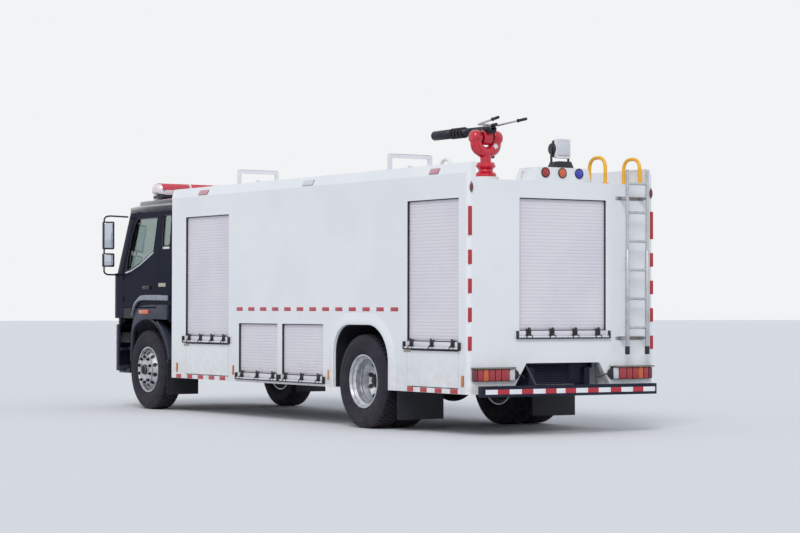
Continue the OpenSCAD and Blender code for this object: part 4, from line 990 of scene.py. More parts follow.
class FIRETRUCK_OT_shutter_curtains(bpy.types.Operator):
    """Make the curtains of interlocking slats"""
    bl_idname = "firetruck.shutter_curtains"
    bl_label = "Shutter curtains"

    def execute(self, context):
        curtains = [self.curtain(on_side, *shutter[:4]) for shutter in SIDE_SHUTTERS]
        fit_both(join("side_curtains", curtains), "anodised_shutter_slats")
        fit(self.curtain(on_rear, *REAR_SHUTTER[:4]), "anodised_shutter_slats",
                replaces=("shutters",)).name = "rear_curtain"
        return {"FINISHED"}

    def curtain(self, spot, start, end, low, top):
        """One opening's slats, from its sill to its head."""
        count = round((top - low) / SLAT_PITCH)
        pitch = (top - low) / count
        profile = [(low + pitch * share, -0.0283 - depth) for share, depth in SLAT_FACE]
        points = [spot(start, v, z) for z, v in profile] + [spot(start, -0.036, low + 0.96 * pitch),
                spot(start, -0.036, low)]
        slat = plate("slat", points, Vector(spot(end, 0, 0)) - Vector(spot(start, 0, 0)))
        back = slab("back", spot, (start, -0.034, low + 0.001), (end, -0.031, top - 0.001))
        return join("curtain", [row(slat, (0, 0, pitch), count), back])


# The rear wheel arch, ahead of the rear wall: its edges, top and corner radii
ARCH = (1.5225, 2.6855, 1.150)
ARCH_REAR_R = 0.42
ARCH_FRONT_R = 0.32
# Bands round it: distance from the opening's edge, height over the side
ARCH_BANDS = ((-0.002, -0.030), (0.0, 0.010), (0.006, 0.019), (0.020, 0.0225), (0.055, 0.0185), (0.090, 0.010),
              (0.125, 0.0005))


def arch_line(away, v, foot=0.442):
    """A line along the arch's edge, moved away from the opening and out of the side."""
    rear, front, top = ARCH
    low_rear = [(rear - away, foot), (rear - away, 0.62)]
    low_front = [(front + away, 0.62), (front + away, foot)]
    crown = arc((rear + ARCH_REAR_R, top - ARCH_REAR_R), ARCH_REAR_R + away, 180, 90,
            14) + arc((front - ARCH_FRONT_R, top - ARCH_FRONT_R), ARCH_FRONT_R + away, 90, 0, 12)
    return [on_side(u, v, z) for u, z in low_rear + crown + low_front]


class FIRETRUCK_OT_arches(bpy.types.Operator):
    """Make the rear arches' flares and dark liners, the step flaps' hinges and the mudflaps"""
    bl_idname = "firetruck.arches"
    bl_label = "Rear arches"

    def execute(self, context):
        flare = sheet("arch_flare", [arch_line(away, v) for away, v in ARCH_BANDS])
        modify(flare, "SOLIDIFY", thickness=0.0015, offset=-1)
        fit_both(flare, "white_two_pack_enamel")
        liner = sheet("arch_liner", [arch_line(-0.003, -0.014, 0.446), arch_line(-0.003, -0.56, 0.446)])
        modify(liner, "SOLIDIFY", thickness=0.002, offset=0)
        fit_both(liner, "black_seal_rubber")
        hinges = []
        for place in ("flap_front_left", "flap_rear_left"):
            low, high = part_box(place)
            hinge = inset(rod("hinge", (low.x + 0.002, high.y - 0.012, 0.510),
                        (high.x - 0.002, high.y - 0.012, 0.510), 0.0117, 16), lengthways, 0.002, 0.0)
            hinges.append(hinge)
        fit_both(join("flap_hinges", hinges), "white_two_pack_enamel")
        flaps = []
        for x, y0, y1, low, top in ((REAR_AXLE - 0.700, 0.600, 1.200, 0.120, 0.438),
                (FRONT_AXLE - 0.680, 0.735, 1.190, 0.215, 0.640)):
            flap = inset(block("mudflap", (x - 0.004, y0, low), (x + 0.004, y1, top)), lengthways, 0.02, -0.001)
            flaps.append(soften(flap, 0.002))
        whole = join("rubber_mudflaps", flaps)
        fit_pair(whole, "black_seal_rubber", replaces=("mudflaps",))
        return {"FINISHED"}


# Side and roof-edge lamps

class FIRETRUCK_OT_side_lamps(bpy.types.Operator):
    """Make the amber markers, the strip lamps and the small plates of the sides"""
    bl_idname = "firetruck.side_lamps"
    bl_label = "Side lamps"

    def execute(self, context):
        ambers = []
        for u, wide in ((6.610, 0.032), (5.100, 0.032), (2.815, 0.030), (0.099, 0.042)):
            lamp = inset(slab("marker", on_side, (u - wide / 2, -0.001, 0.520), (u + wide / 2, 0.008, 0.632)),
                    LEFTWARD, 0.004, 0.004)
            ambers.append(soften(lamp, 0.004, 2))
        fit_both(join("amber_markers", ambers), "dull_amber_acrylic")
        for u0, u1, finish in ((5.810, 6.050, "pink_strip_lens"), (3.200, 3.430, "clear_lens_acrylic"),
                (0.575, 0.750, "pink_strip_lens")):
            lens = soften(inset(block("strip", (REAR_WALL + u0, SIDE - 0.001, SHOULDER + 0.012),
                            (REAR_WALL + u1, SIDE + 0.007, SHOULDER + 0.080)), LEFTWARD, 0.006, 0.003), 0.003)
            shift(lens, turn=(SHOULDER_LEAN, 0, 0), about=(0, SIDE, SHOULDER))
            lens.name = "strip_lamp_" + str(round(u0))
            fit_both(lens, finish)
        plates = []
        for u0, u1, z in ((6.275, 6.420, 0.850), (1.095, 1.235, 0.862)):
            tag = inset(slab("tag", on_side, (u0, -0.0005, z), (u1, 0.0015, z + 0.030)), LEFTWARD, 0.003,
                    0.0005)
            plates.append(tag)
        fit_both(join("label_plates", plates), "blank_label_film")
        return {"FINISHED"}


# Rear lamps. Fields of a tail lamp from its outer end, as shares of its length
TAIL_FIELDS = (
    (0.00, 0.085, "dark_red_lens_acrylic"),
    (0.10, 0.225, "red_lens_acrylic"),
    (0.24, 0.36, "amber_lens_acrylic"),
    (0.375, 0.51, "red_lens_acrylic"),
    (0.525, 0.66, "red_lens_acrylic"),
    (0.675, 0.86, "red_lens_acrylic"),
    (0.875, 0.995, "clear_lens_acrylic"),
)


class FIRETRUCK_OT_rear_lamps(bpy.types.Operator):
    """Make the tail lamps with their shields, the hump's lamps and the corner lamps"""
    bl_idname = "firetruck.rear_lamps"
    bl_label = "Rear lamps"

    def execute(self, context):
        depth = context.scene.truck_sizes.lens_depth
        outer, inner, low, high = 1.175, 0.650, 0.573, 0.706
        groups = {}
        for start, end, finish in TAIL_FIELDS:
            lens = inset(slab("lens", on_rear, (outer - (outer - inner) * start, 0.0, low + 0.006),
                        (outer - (outer - inner) * end, 0.028 + depth, high - 0.006)), BACKWARD, 0.006, 0.002)
            groups.setdefault(finish, []).append(soften(lens, 0.004, 2))
        end_cap = extrude(slab("lens", on_rear, (outer - 0.03, 0.0, low + 0.004),
                    (outer + 0.004, 0.030, high - 0.004)), BACKWARD, (-0.010, 0, 0), (1, 0.8, 0.8))
        groups["dark_red_lens_acrylic"].append(soften(end_cap, 0.012, 3))
        for finish, parts in groups.items():
            fit_both(join("tail_" + finish, parts), finish)
        box = slab("tail_box", on_rear, (outer - 0.004, 0.0, low), (inner - 0.004, 0.024, high))
        fit_both(soften(box, 0.006), "black_moulded_abs")
        # The shield's outer edge, from the truck's middle
        edge = 1.190
        shield = plate("tail_shield", [on_rear(u, v, 0.714)
                    for u, v in ((edge, 0.0), (edge, 0.060), (inner, 0.060), (0.610, 0.0))], (0, 0, 0.005))
        lip = plate("shield_lip", [on_rear(u, 0.060, z)
                    for u, z in ((edge, 0.719), (edge, 0.704), (0.662, 0.704), (inner, 0.719))],
                (0.003, 0, 0))
        fit_both(join("tail_shields", [soften(shield, 0.0015), lip]), "galvanised_flat_bar")
        bracket = soften(extrude(plate("bracket", [on_rear(0.648, v, z)
                            for v, z in ((0.0, 0.580), (0.026, 0.580), (0.026, 0.700), (0.0, 0.700))],
                        (0, -0.012, 0)), RIGHTWARD, (0, -0.050, 0), (0.3, 1, 0.45)), 0.004)
        harness = tube("harness", [on_rear(*place) for place in ((0.592, 0.014, 0.640), (0.560, 0.016, 0.634),
                        (0.525, 0.012, 0.618), (0.490, -0.01, 0.600), (0.470, -0.05, 0.590))], 0.006)
        fit_both(join("tail_brackets", [bracket, harness]), "black_seal_rubber")
        hump = 2.772
        for y, name, finish in ((0.235, "left", "red_lens_acrylic"), (0.013, "middle", "amber_lens_acrylic"),
                (-0.208, "right", "blue_lens_acrylic")):
            for part, part_finish, profile in (("hump_bezel_", "black_seal_rubber",
                        ((0.047, 0.006), (0.048, 0.012), (0.052, 0.011), (0.055, 0.006), (0.055, -0.004),
                            (0.047, -0.004), (0.047, 0.006))), ("hump_lens_", finish,
                        ((0, 0.018), (0.018, 0.017), (0.034, 0.013), (0.048, 0.006), (0.048, -0.004),
                            (0, -0.004)))):
                fit(turned(part + name, [on_rear(y + r, v, hump) for r, v in profile], on_rear(y, 0, hump),
                            (1, 0, 0), 40), part_finish)
        foot, tip, y = 2.536, 2.655, 1.184
        middle = (foot + tip) / 2
        half = [(0.009, tip - 0.018), (0.018, tip - 0.045), (0.021, tip - 0.066), (0.018, tip - 0.090),
                (0.010, tip - 0.110)]
        # The corner lamp's outline, pointed above
        tear = [(0.0, tip)] + half + [(0.0, foot), (-0.010, tip - 0.110)] + [(-u, z) for u, z in reversed(half[:4])]
        base = plate("drop_base", [on_rear(y + u * 1.25, -0.010, middle + (z - middle) * 1.1) for u, z in tear],
                (-0.012, 0, 0))
        lens = inset(plate("corner_lens", [on_rear(y + u, 0.001, z) for u, z in tear], (-0.010, 0, 0)),
                BACKWARD, 0.006, 0.006)
        fit_both(soften(base, 0.003), "white_powder_coat")
        fit_both(lens, "dark_red_lens_acrylic")
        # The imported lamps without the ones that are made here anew
        rest = cast("lamps", "lamp_bodies")
        drop(rest, lambda centre, normal: centre.x > BODY_FRONT or centre.x < REAR_WALL + 0.001
                and (centre.z < 1 or abs(centre.y) < 0.4))
        fit(rest, "black_moulded_abs", replaces=("lamps",))
        return {"FINISHED"}


class FIRETRUCK_OT_rear_recess(bpy.types.Operator):
    """Make the louvred plate with its sides, the plain panel beside it and the stays of the rear recess"""
    bl_idname = "firetruck.rear_recess"
    bl_label = "Rear recess"

    def execute(self, context):
        board = REAR_WALL + 0.115
        slat = block("louvre", (board - 0.010, -0.140, 0.536), (board - 0.004, 0.360, 0.556))
        shift(slat, turn=(0, math.radians(28), 0), about=(board - 0.007, 0, 0.546))
        slats = row(soften(slat, 0.001, 1), (0, 0, 0.025), 8)
        frames = [block("louvre_side", (board - 0.012, y, 0.532), (board - 0.0005, y + 0.010, 0.742))
                for y in (-0.152, 0.360)]
        panel = inset(block("panel", (board - 0.004, -0.400, 0.536), (board - 0.0005, -0.165, 0.745)), BACKWARD,
                0.012, 0.001)
        fit(join("recess_louvres", [slats, panel] + [soften(side, 0.002) for side in frames]),
                "satin_chassis_paint")
        stay = plate("stay", [(REAR_WALL + 0.030, 0.480, 0.745), (REAR_WALL + 0.030, 0.455, 0.745),
                    (REAR_WALL - 0.060, 0.385, 0.530), (REAR_WALL - 0.060, 0.412, 0.530)], (0.006, 0, 0))
        fit_both(stay, "grained_grey_polypropylene")
        return {"FINISHED"}


class FIRETRUCK_OT_ladder_fittings(bpy.types.Operator):
    """Make the feet, sleeves, rung grips and wall brackets of the ladder"""
    bl_idname = "firetruck.ladder_fittings"
    bl_label = "Ladder fittings"

    def execute(self, context):
        x = REAR_WALL - 0.120
        feet, sleeves = [], []
        for y in (-0.770, -1.040):
            foot = rod("foot", (x, y, 0.842), (x, y, 0.930), 0.0255, 20)
            feet.append(soften(foot, 0.004))
            sleeve = rod("sleeve", (x, y, 0.925), (x, y, 1.960), 0.0235, 20)
            sleeves.append(soften(sleeve, 0.002))
        for i in range(6):
            z = 1.130 + 0.310 * i
            grip = rod("grip", (x, -1.020, z), (x, -0.790, z), 0.0145, 12)
            sleeves.append(grip)
        fit(join("ladder_feet", feet), "black_seal_rubber")
        fit(join("ladder_sleeves", sleeves), "mill_finish_aluminium")
        bars = []
        for z in (1.000, 2.510):
            bar = block("bar", (REAR_WALL - 0.0068, -1.083, z - 0.004), (REAR_WALL - 0.0003, -0.728, z + 0.034))
            bars.append(soften(bar, 0.0015))
        fit(join("ladder_brackets", bars), "galvanised_flat_bar")
        return {"FINISHED"}


class FIRETRUCK_OT_light_bar(bpy.types.Operator):
    """Make the light bar with its lenses in place of the plain one"""
    bl_idname = "firetruck.light_bar"
    bl_label = "Light bar"

    def execute(self, context):
        low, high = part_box("light_bar")
        x0, x1 = low.x, high.x
        half, base, top = high.y - 0.04, 2.800, high.z
        mid = (x0 + x1) / 2
        tray = soften(block("tray", (x0 + 0.01, -half + 0.05, base), (x1 - 0.01, half - 0.05, base + 0.045)),
                0.01, 3)
        feet = []
        for s in (1, -1):
            foot = block("foot", (x0 + 0.06, s * 0.5, 2.68), (x1 - 0.06, s * 0.58, base + 0.01))
            feet.append(soften(foot, 0.006))
        speaker = soften(inset(block("speaker", (x0, 0.27, base + 0.047), (x0 + 0.1, 0.62, base + 0.125)),
                    BACKWARD, 0.01, -0.004), 0.004)
        fit(join("light_bar_tray", [tray] + feet + [speaker, mirrored(speaker, "speaker")]),
                "black_moulded_abs", replaces=("light_bar",))
        # Section of the cover: along, height
        section = [(x0 + 0.002, base + 0.045), (x0, base + 0.110), (x0 + 0.012, base + 0.160),
                (x0 + 0.045, top - 0.008), (mid, top), (x1 - 0.045, top - 0.008), (x1 - 0.012, base + 0.160),
                (x1, base + 0.110), (x1 - 0.002, base + 0.045)]
        cover = plate("light_bar_cover", [(x, -half + 0.11, z) for x, z in section], (0, 2 * (half - 0.11), 0))
        for s in (1, -1):
            extrude(cover, facing(y=s), (0, s * 0.08, 0), (0.72, 1, 0.8))
            extrude(cover, lambda centre, normal: normal.y * s > 0.9 and abs(centre.y) > half - 0.05,
                    (0, s * 0.028, 0), (0.7, 1, 0.7))
        fit(soften(cover, 0.006), "light_bar_clear")
        reds = []
        for y0, y1 in ((0.40, 0.80), (0.04, 0.37), (-0.37, -0.04), (-0.80, -0.40)):
            red = plate("red", [(x + (0.0025 if x > mid else -0.0025), y0, z + 0.001) for x, z in section[1:8]],
                    (0, y1 - y0, 0))
            reds.append(soften(red, 0.003))
        fit(join("light_bar_modules", reds), "light_bar_red")
        return {"FINISHED"}


class FIRETRUCK_OT_searchlight(bpy.types.Operator):
    """Make the searchlight's bezel, housing, lens and stand"""
    bl_idname = "firetruck.searchlight"
    bl_label = "Searchlight"

    def execute(self, context):
        x, y, z = LIGHT_X, LIGHT_Y, LIGHT_Z
        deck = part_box("searchlight_yoke")[0].z
        bezel = inset(block("light_bezel", (x - 0.058, y - 0.092, z - 0.102),
                    (x - 0.010, y + 0.100, z + 0.108)), BACKWARD, 0.016, -0.008)
        fit(soften(bezel, 0.012, 3), "white_powder_coat", "searchlight_head")
        body = extrude(block("light_body", (x - 0.012, y - 0.080, z - 0.090),
                    (x + 0.040, y + 0.092, z + 0.094)), FORWARD, (0.040, 0, 0), (1, 0.62, 0.62))
        motor = inset(rod("motor", (x + 0.012, y + 0.080, z), (x + 0.012, y + 0.118, z), 0.062, 24), LEFTWARD,
                0.012, 0.004)
        fit(join("light_back", [soften(body, 0.012, 3), soften(motor, 0.004)]), "black_moulded_abs",
                "searchlight_head", ("searchlight_head",))
        lens = inset(block("light_lens", (x - 0.062, y - 0.072, z - 0.070), (x - 0.046, y + 0.080, z + 0.078)),
                BACKWARD, 0.012, 0.004)
        fit(soften(lens, 0.004), "clear_lens_acrylic", "searchlight_head")
        foot = plate("light_foot", [(x - 0.085, y + u, v)
                    for u, v in ((-0.115, deck), (0.125, deck), (0.085, 2.905), (-0.078, 2.905))],
                (0.170, 0, 0))
        arms = [block("arm", (x - 0.018, y + u, 2.870), (x + 0.018, y + u + 0.010, z + 0.022))
                for u in (-0.104, 0.121)]
        fit(join("light_stand", [soften(part, 0.005) for part in [foot] + arms]), "black_moulded_abs",
                "searchlight_yoke", ("searchlight_yoke",))
        return {"FINISHED"}


class FIRETRUCK_OT_monitor(bpy.types.Operator):
    """Make the monitor's bolts, clamps, handles, elbows and sleeve, and shorten its barrel"""
    bl_idname = "firetruck.monitor"
    bl_label = "Monitor"

    def execute(self, context):
        x = MONITOR_X
        bolts = ring(rod("bolt", (x + 0.102, 0, 2.832), (x + 0.102, 0, 2.848), 0.009, 6), 8, (x, 0, 0),
                (0, 0, 1))
        fit(bolts, "oiled_steel_nuts").name = "monitor_bolts"
        clamps = []
        for i in range(4):
            u = x + 0.412 + 0.068 * i
            clamps.append(turned("clamp", [(u + at, 0, BARREL_Z + r)
                            for at, r in ((0, 0.050), (0, 0.060), (0.004, 0.0625), (0.014, 0.0625),
                                (0.017, 0.0605), (0.029, 0.0605), (0.032, 0.0625), (0.042, 0.0625),
                                (0.046, 0.060), (0.046, 0.050), (0, 0.050))], (0, 0, BARREL_Z), (1, 0, 0), 32))
        fit(join("barrel_clamps", clamps), "oiled_steel_nuts", "monitor_barrel")
        barrel = cast("monitor_barrel", "monitor_tube")
        drop(barrel, lambda centre, normal: centre.x < x - 0.155)
        fit(barrel, "black_anodised_barrel", "monitor_barrel", ("monitor_barrel",))
        grips, bars = [], []
        for s, root_y in ((1, 0.165), (-1, -0.100)):
            tip = Vector((x - 0.52, s * 0.188, BARREL_Z + 0.100))
            root = Vector((x - 0.10, root_y, BARREL_Z + 0.052))
            grips.append(soften(rod("grip", tip, tip + (root - tip) * 0.30, 0.0165, 16), 0.005))
            grips.append(soften(rod("collar", tip + (root - tip) * 0.28, tip + (root - tip) * 0.31, 0.021, 16),
                        0.003))
            bars.append(rod("bar", tip + (root - tip) * 0.28, root, 0.0115, 14))
        bars.append(rod("cross", (x - 0.10, 0.172, BARREL_Z + 0.052), (x - 0.10, -0.107, BARREL_Z + 0.052),
                    0.0125, 14))
        saddle = block("saddle", (x - 0.125, -0.034, BARREL_Z + 0.030), (x + 0.010, 0.034, BARREL_Z + 0.062))
        bars.append(soften(saddle, 0.008))
        knob = rod("knob", (x - 0.215, 0.0, BARREL_Z + 0.050), (x - 0.125, 0.0, BARREL_Z + 0.046), 0.019, 16)
        grips.append(soften(knob, 0.006))
        fit(join("monitor_grips", grips), "black_seal_rubber", "monitor_barrel")
        fit(join("monitor_handles", bars), "mill_finish_aluminium", "monitor_barrel")
        pivot = MONITOR_Z
        core = turned("monitor_core", [(x, -0.058, pivot), (x, -0.058, pivot + 0.070),
                    (x, -0.046, pivot + 0.084), (x, 0.046, pivot + 0.084), (x, 0.058, pivot + 0.070),
                    (x, 0.058, pivot)], (x, 0, pivot), (0, 1, 0), 36)
        fit(core, "red_cast_enamel", "monitor_barrel")
        arm = tube("arm", [(x, 0.0, 3.070), (x, 0.045, 3.078), (x, 0.088, 3.104), (x, 0.118, 3.142),
                    (x, 0.132, 3.185), (x, 0.134, 3.235)], 0.066, fine=6)
        bulb = turned("bulb", [(x, 0.066, pivot)] + [(x, 0.066 + 0.068 * (1 - math.cos(math.radians(a))),
                        pivot + 0.040 + 0.044 * math.sin(math.radians(a))) for a in range(0, 181, 20)]
                + [(x, 0.202, pivot)], (x, 0, pivot), (0, 1, 0), 36)
        knuckle = rod("knuckle", (x, -0.060, 3.030), (x, -0.112, 3.030), 0.018, 16)
        tag = block("tag", (x - 0.024, -0.118, 3.118), (x - 0.070, -0.070, 3.166))
        shift(tag, turn=(math.radians(-38), 0, 0), about=(x, -0.094, 3.142))
        fit(soften(knuckle, 0.004), "black_moulded_abs", "monitor_yoke").name = "monitor_lock_knob"
        fit(soften(tag, 0.003), "white_powder_coat", "monitor_yoke").name = "monitor_blank_tag"
        side = join("side", [arm, bulb])
        fit(join("monitor_elbows", [side, mirrored(side, "side")]), "red_cast_enamel", "monitor_yoke")
        sleeve = turned("monitor_sleeve", [(x + r, 0, z)
                    for r, z in ((0.120, 2.834), (0.106, 2.846), (0.084, 2.862), (0.080, 2.880), (0.094, 2.900),
                        (0.110, 2.912), (0.112, 2.930), (0.102, 2.945), (0.070, 2.950), (0.070, 2.834),
                        (0.120, 2.834))], (x, 0, 0), (0, 0, 1), 40)
        fit(sleeve, "red_cast_enamel")
        return {"FINISHED"}


class FIRETRUCK_OT_roof_fittings(bpy.types.Operator):
    """Make the hatch's handle, the rack pads, the grab hoops and the dome of the cab's roof"""
    bl_idname = "firetruck.roof_fittings"
    bl_label = "Roof fittings"

    def execute(self, context):
        low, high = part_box("hatch_lid")
        x = REAR_WALL + 3.3
        handle = tube("hatch_handle", [(x - 0.17, -0.06, high.z - 0.004), (x - 0.17, -0.055, high.z + 0.02),
                    (x - 0.17, 0.055, high.z + 0.02), (x - 0.17, 0.06, high.z - 0.004)], 0.007)
        fit(handle, "mill_finish_aluminium", "hatch_lid")
        pads = []
        for at in (1.9, 5.4):
            pad = block("pad", (REAR_WALL + at - 0.018, 0.445, 3.0445), (REAR_WALL + at + 0.018, 0.985, 3.0485))
            pads.append(soften(pad, 0.0015, 1))
        fit(join("rack_pads", pads), "black_seal_rubber")
        low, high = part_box("grab_hoops")
        rear, front, crown, radius = REAR_WALL + 0.036, REAR_WALL + 0.316, high.z - 0.020, 0.110
        hoops = []
        for y in (low.y + 0.016, high.y - 0.016):
            line = [(rear, low.z + 0.001)] + arc((rear + radius, crown - radius), radius, 180, 90,
                    8) + arc((front - radius, crown - radius), radius, 90, 0, 8) + [(front, low.z + 0.001)]
            hoops.append(tube("hoop", [(x, y, z) for x, z in line], 0.0195, fine=4))
            for x in (rear, front):
                hoops.append(soften(rod("flange", (x, y, low.z + 0.0005), (x, y, low.z + 0.010), 0.036, 20),
                            0.002))
        fit(join("hoop_tubes", hoops), "yellow_powder_coat", replaces=("grab_hoops",))
        dome = extrude(block("cab_dome", (CAB_BACK + 0.06, -0.985, 2.650), (CAB_BACK + 1.30, 0.985, 2.756)),
                UPWARD, (-0.03, 0, 0.026), (0.90, 0.90, 1))
        fit(soften(dome, 0.018, 4, 20), "dark_blue_roof_enamel_painted_reflection")
        return {"FINISHED"}


def cab_y(z, out=0.0):
    """The cab side's distance from the middle at a height."""
    return CAB_SIDE + out - max(0.0, z - BELT) * CAB_LEAN


# The door window's outline, ahead of the door's rear edge, and height
DOOR_REAR = CAB_BACK + 0.365
DOOR_WINDOW = ((0.115, 2.520), (0.690, 2.520), (0.775, 2.460), (0.860, 2.300), (0.945, 1.990), (0.955, 1.840),
               (0.790, 1.855), (0.550, 1.925), (0.370, 1.995), (0.175, 2.075))


class FIRETRUCK_OT_cab_trim(bpy.types.Operator):
    """Make the window seals, the chrome strips, the badge's place and the door handles of the cab"""
    bl_idname = "firetruck.cab_trim"
    bl_label = "Cab trim"

    def execute(self, context):
        seal = tube("door_window_seal", [(DOOR_REAR + u, cab_y(z, -0.004), z) for u, z in DOOR_WINDOW], 0.009,
                closed=True)
        fit_pair(seal, "black_seal_rubber", "door_left")
        strip = tube("window_strip", [(DOOR_REAR + u, cab_y(z, 0.001), z)
                    for u, z in ((0.170, 2.062), (0.370, 1.978), (0.550, 1.906), (0.790, 1.834),
                        (0.960, 1.802))], 0.011)
        fit_pair(strip, "chrome_plate", "door_left")
        low, high = 2.140, 2.540
        x0, x1 = CAB_BACK + 0.080, DOOR_REAR - 0.060
        quarter = tube("quarter_window_seal", [(x, cab_y(z, -0.004), z)
                    for x, z in ((x0, low + 0.03), (x0, high - 0.03), (x0 + 0.03, high), (x1 - 0.03, high),
                        (x1, high - 0.03), (x1, low + 0.03), (x1 - 0.03, low), (x0 + 0.03, low))], 0.008,
                closed=True)
        fit_both(quarter, "black_seal_rubber")
        badge = inset(block("badge_place", (DOOR_REAR - 0.215, CAB_SIDE - 0.001, 1.608),
                    (DOOR_REAR - 0.015, CAB_SIDE + 0.003, 1.656)), LEFTWARD, 0.004, 0.0008)
        fit_both(badge, "blank_label_film")
        strip = block("quarter_strip", (x0, cab_y(2.12, -0.002), 2.098), (x1 - 0.03, cab_y(2.12, 0.006), 2.128))
        fit_both(soften(strip, 0.003), "chrome_plate")
        handle = soften(inset(block("door_handle", (DOOR_REAR + 0.225, CAB_SIDE - 0.001, 1.575),
                        (DOOR_REAR + 0.435, CAB_SIDE + 0.016, 1.625)), LEFTWARD, 0.008, 0.004), 0.005)
        fit_pair(handle, "black_moulded_abs", "door_left")
        return {"FINISHED"}


# The flare's edges, ahead of the axle and height: outer edge from the leg's foot to the rear, then the inner edge
# back. The front part lies on a plane that runs inboard to the leg
FLARE_BEND = 0.200
FLARE_TAPER = 0.25
# The door's rear edge and the flare's rear end, behind the axle
DOOR_LINE = -0.3705
FLARE_END = -0.684
# Height of the middle of the round edges
FLARE_MIDDLE = 0.567
FLARE_FRONT = ((0.6165, 0.648), (0.5705, 0.893), (0.5295, 1.046), (0.460, 1.140), (0.374, 1.215), (0.290, 1.258),
               (0.200, 1.2886),
               (0.200, 1.1198), (0.2645, 1.108), (0.350, 1.070), (0.4425, 1.001), (0.4755, 0.893), (0.520, 0.740),
               (0.5575, 0.600))
FLARE_REAR = ((0.200, 1.2886), (0.133, 1.327), (-0.379, 1.327), (-0.379, 1.374), (FLARE_END, 1.374),
        (FLARE_END, 1.181), (-0.232, 1.186), (0.007, 1.178), (0.110, 1.154), (0.200, 1.1198))
DOOR_FLARE = ((0.112, 1.342), (0.062, 1.357), (0.009, 1.364), (-0.230, 1.375), (DOOR_LINE, 1.375),
        (DOOR_LINE, 1.342))
# The pale ledge over it, on the door and behind it
DOOR_LEDGE = ((0.371, 1.229), (0.340, 1.305), (0.303, 1.367), (0.255, 1.412), (0.199, 1.443), (0.145, 1.474),
        (0.079, 1.496), (-0.059, 1.503), (DOOR_LINE, 1.502), (DOOR_LINE, 1.431), (0.009, 1.435), (0.130, 1.428),
        (0.216, 1.405), (0.280, 1.355), (0.335, 1.290), (0.358, 1.229))
REAR_LEDGE = ((-0.380, 1.502), (FLARE_END, 1.494), (FLARE_END, 1.426), (-0.380, 1.431))


class FIRETRUCK_OT_fenders(bpy.types.Operator):
    """Make the flared front fenders, their liners, ledges and lamps"""
    bl_idname = "firetruck.fenders"
    bl_label = "Fenders"

    def execute(self, context):
        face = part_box("fenders")[1].y
        front = plate("flare", [(FRONT_AXLE + u, face - max(0.0, u - FLARE_BEND) * FLARE_TAPER, z)
                    for u, z in FLARE_FRONT], (0, -0.045, 0))
        rear = plate("flare", [(FRONT_AXLE + u, face, z) for u, z in FLARE_REAR], (0, -0.045, 0))
        flare = soften(join("fender_flare", [front, rear]), 0.008, 3)
        rings = [(FRONT_AXLE + x, z) for x, z in arc((0, FLARE_MIDDLE), 0.655, -2, 76, 14)]
        inner = [(FRONT_AXLE + x, z) for x, z in arc((0, FLARE_MIDDLE), 0.625, 76, -2, 14)]
        lead = plate("fender_liner", [(x, 1.060, z) for x, z in rings + inner], (0, -0.270, 0))
        rings = [(FRONT_AXLE + x, z) for x, z in arc((0, 0.545), 0.667, 70, 178, 22)
                + arc((0, 0.545), 0.637, 178, 70, 22)]
        link = [(FRONT_AXLE + x, z) for x, z in arc((0, 0.556), 0.661, 50, 74, 6)
                + arc((0, 0.556), 0.631, 74, 50, 6)]
        liner = join("fender_liner", [lead, plate("liner", [(x, 1.165, z) for x, z in rings], (0, -0.375, 0)),
                    plate("link", [(x, 1.125, z) for x, z in link], (0, -0.335, 0))])
        strip = [(FRONT_AXLE + x, z) for x, z in arc((0, FLARE_MIDDLE), 0.690, 118, 172, 12)
                + arc((0, FLARE_MIDDLE), 0.630, 172, 118, 12)]
        guard = plate("fender_guard", [(x, 1.165, z) for x, z in strip], (0, -0.110, 0))
        whole = join("fender_shell", [flare, liner, soften(guard, 0.006)])
        fit_pair(whole, "grained_grey_polypropylene", replaces=("fenders",))
        lip = soften(plate("door_flare", [(FRONT_AXLE + u, face, z) for u, z in DOOR_FLARE],
                    (0, CAB_SIDE - 0.001 - face, 0)), 0.006, 2)
        ledge = plate("door_ledge", [(FRONT_AXLE + u, face + 0.004, z) for u, z in DOOR_LEDGE],
                (0, CAB_SIDE - 0.005 - face, 0))
        for part, finish in ((lip, "grained_grey_polypropylene"),
                (soften(ledge, 0.012, 3), "pale_grey_polypropylene")):
            fit_pair(part, finish, "door_left")
        back = plate("rear_ledge", [(FRONT_AXLE + u, face + 0.004, z) for u, z in REAR_LEDGE],
                (0, CAB_SIDE - 0.005 - face, 0))
        fit_both(soften(back, 0.012, 3), "pale_grey_polypropylene")
        lamp = inset(block("fender_lamp", (FRONT_AXLE - 0.164, face - 0.002, 1.252),
                    (FRONT_AXLE + 0.110, face + 0.012, 1.309)), LEFTWARD, 0.010, 0.004)
        fit_both(soften(lamp, 0.008, 3), "amber_lens_acrylic")
        return {"FINISHED"}


# Plan of the windscreen pillar at the belt: the door's edge, the corner's radius and the windscreen's plane
PILLAR_REAR = CAB_BACK + 1.4375
PILLAR_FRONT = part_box("cab_sides")[1].x
PILLAR_RADIUS = 0.26
PILLAR_RISE = Vector((-0.2793, -0.0571, 0.80))


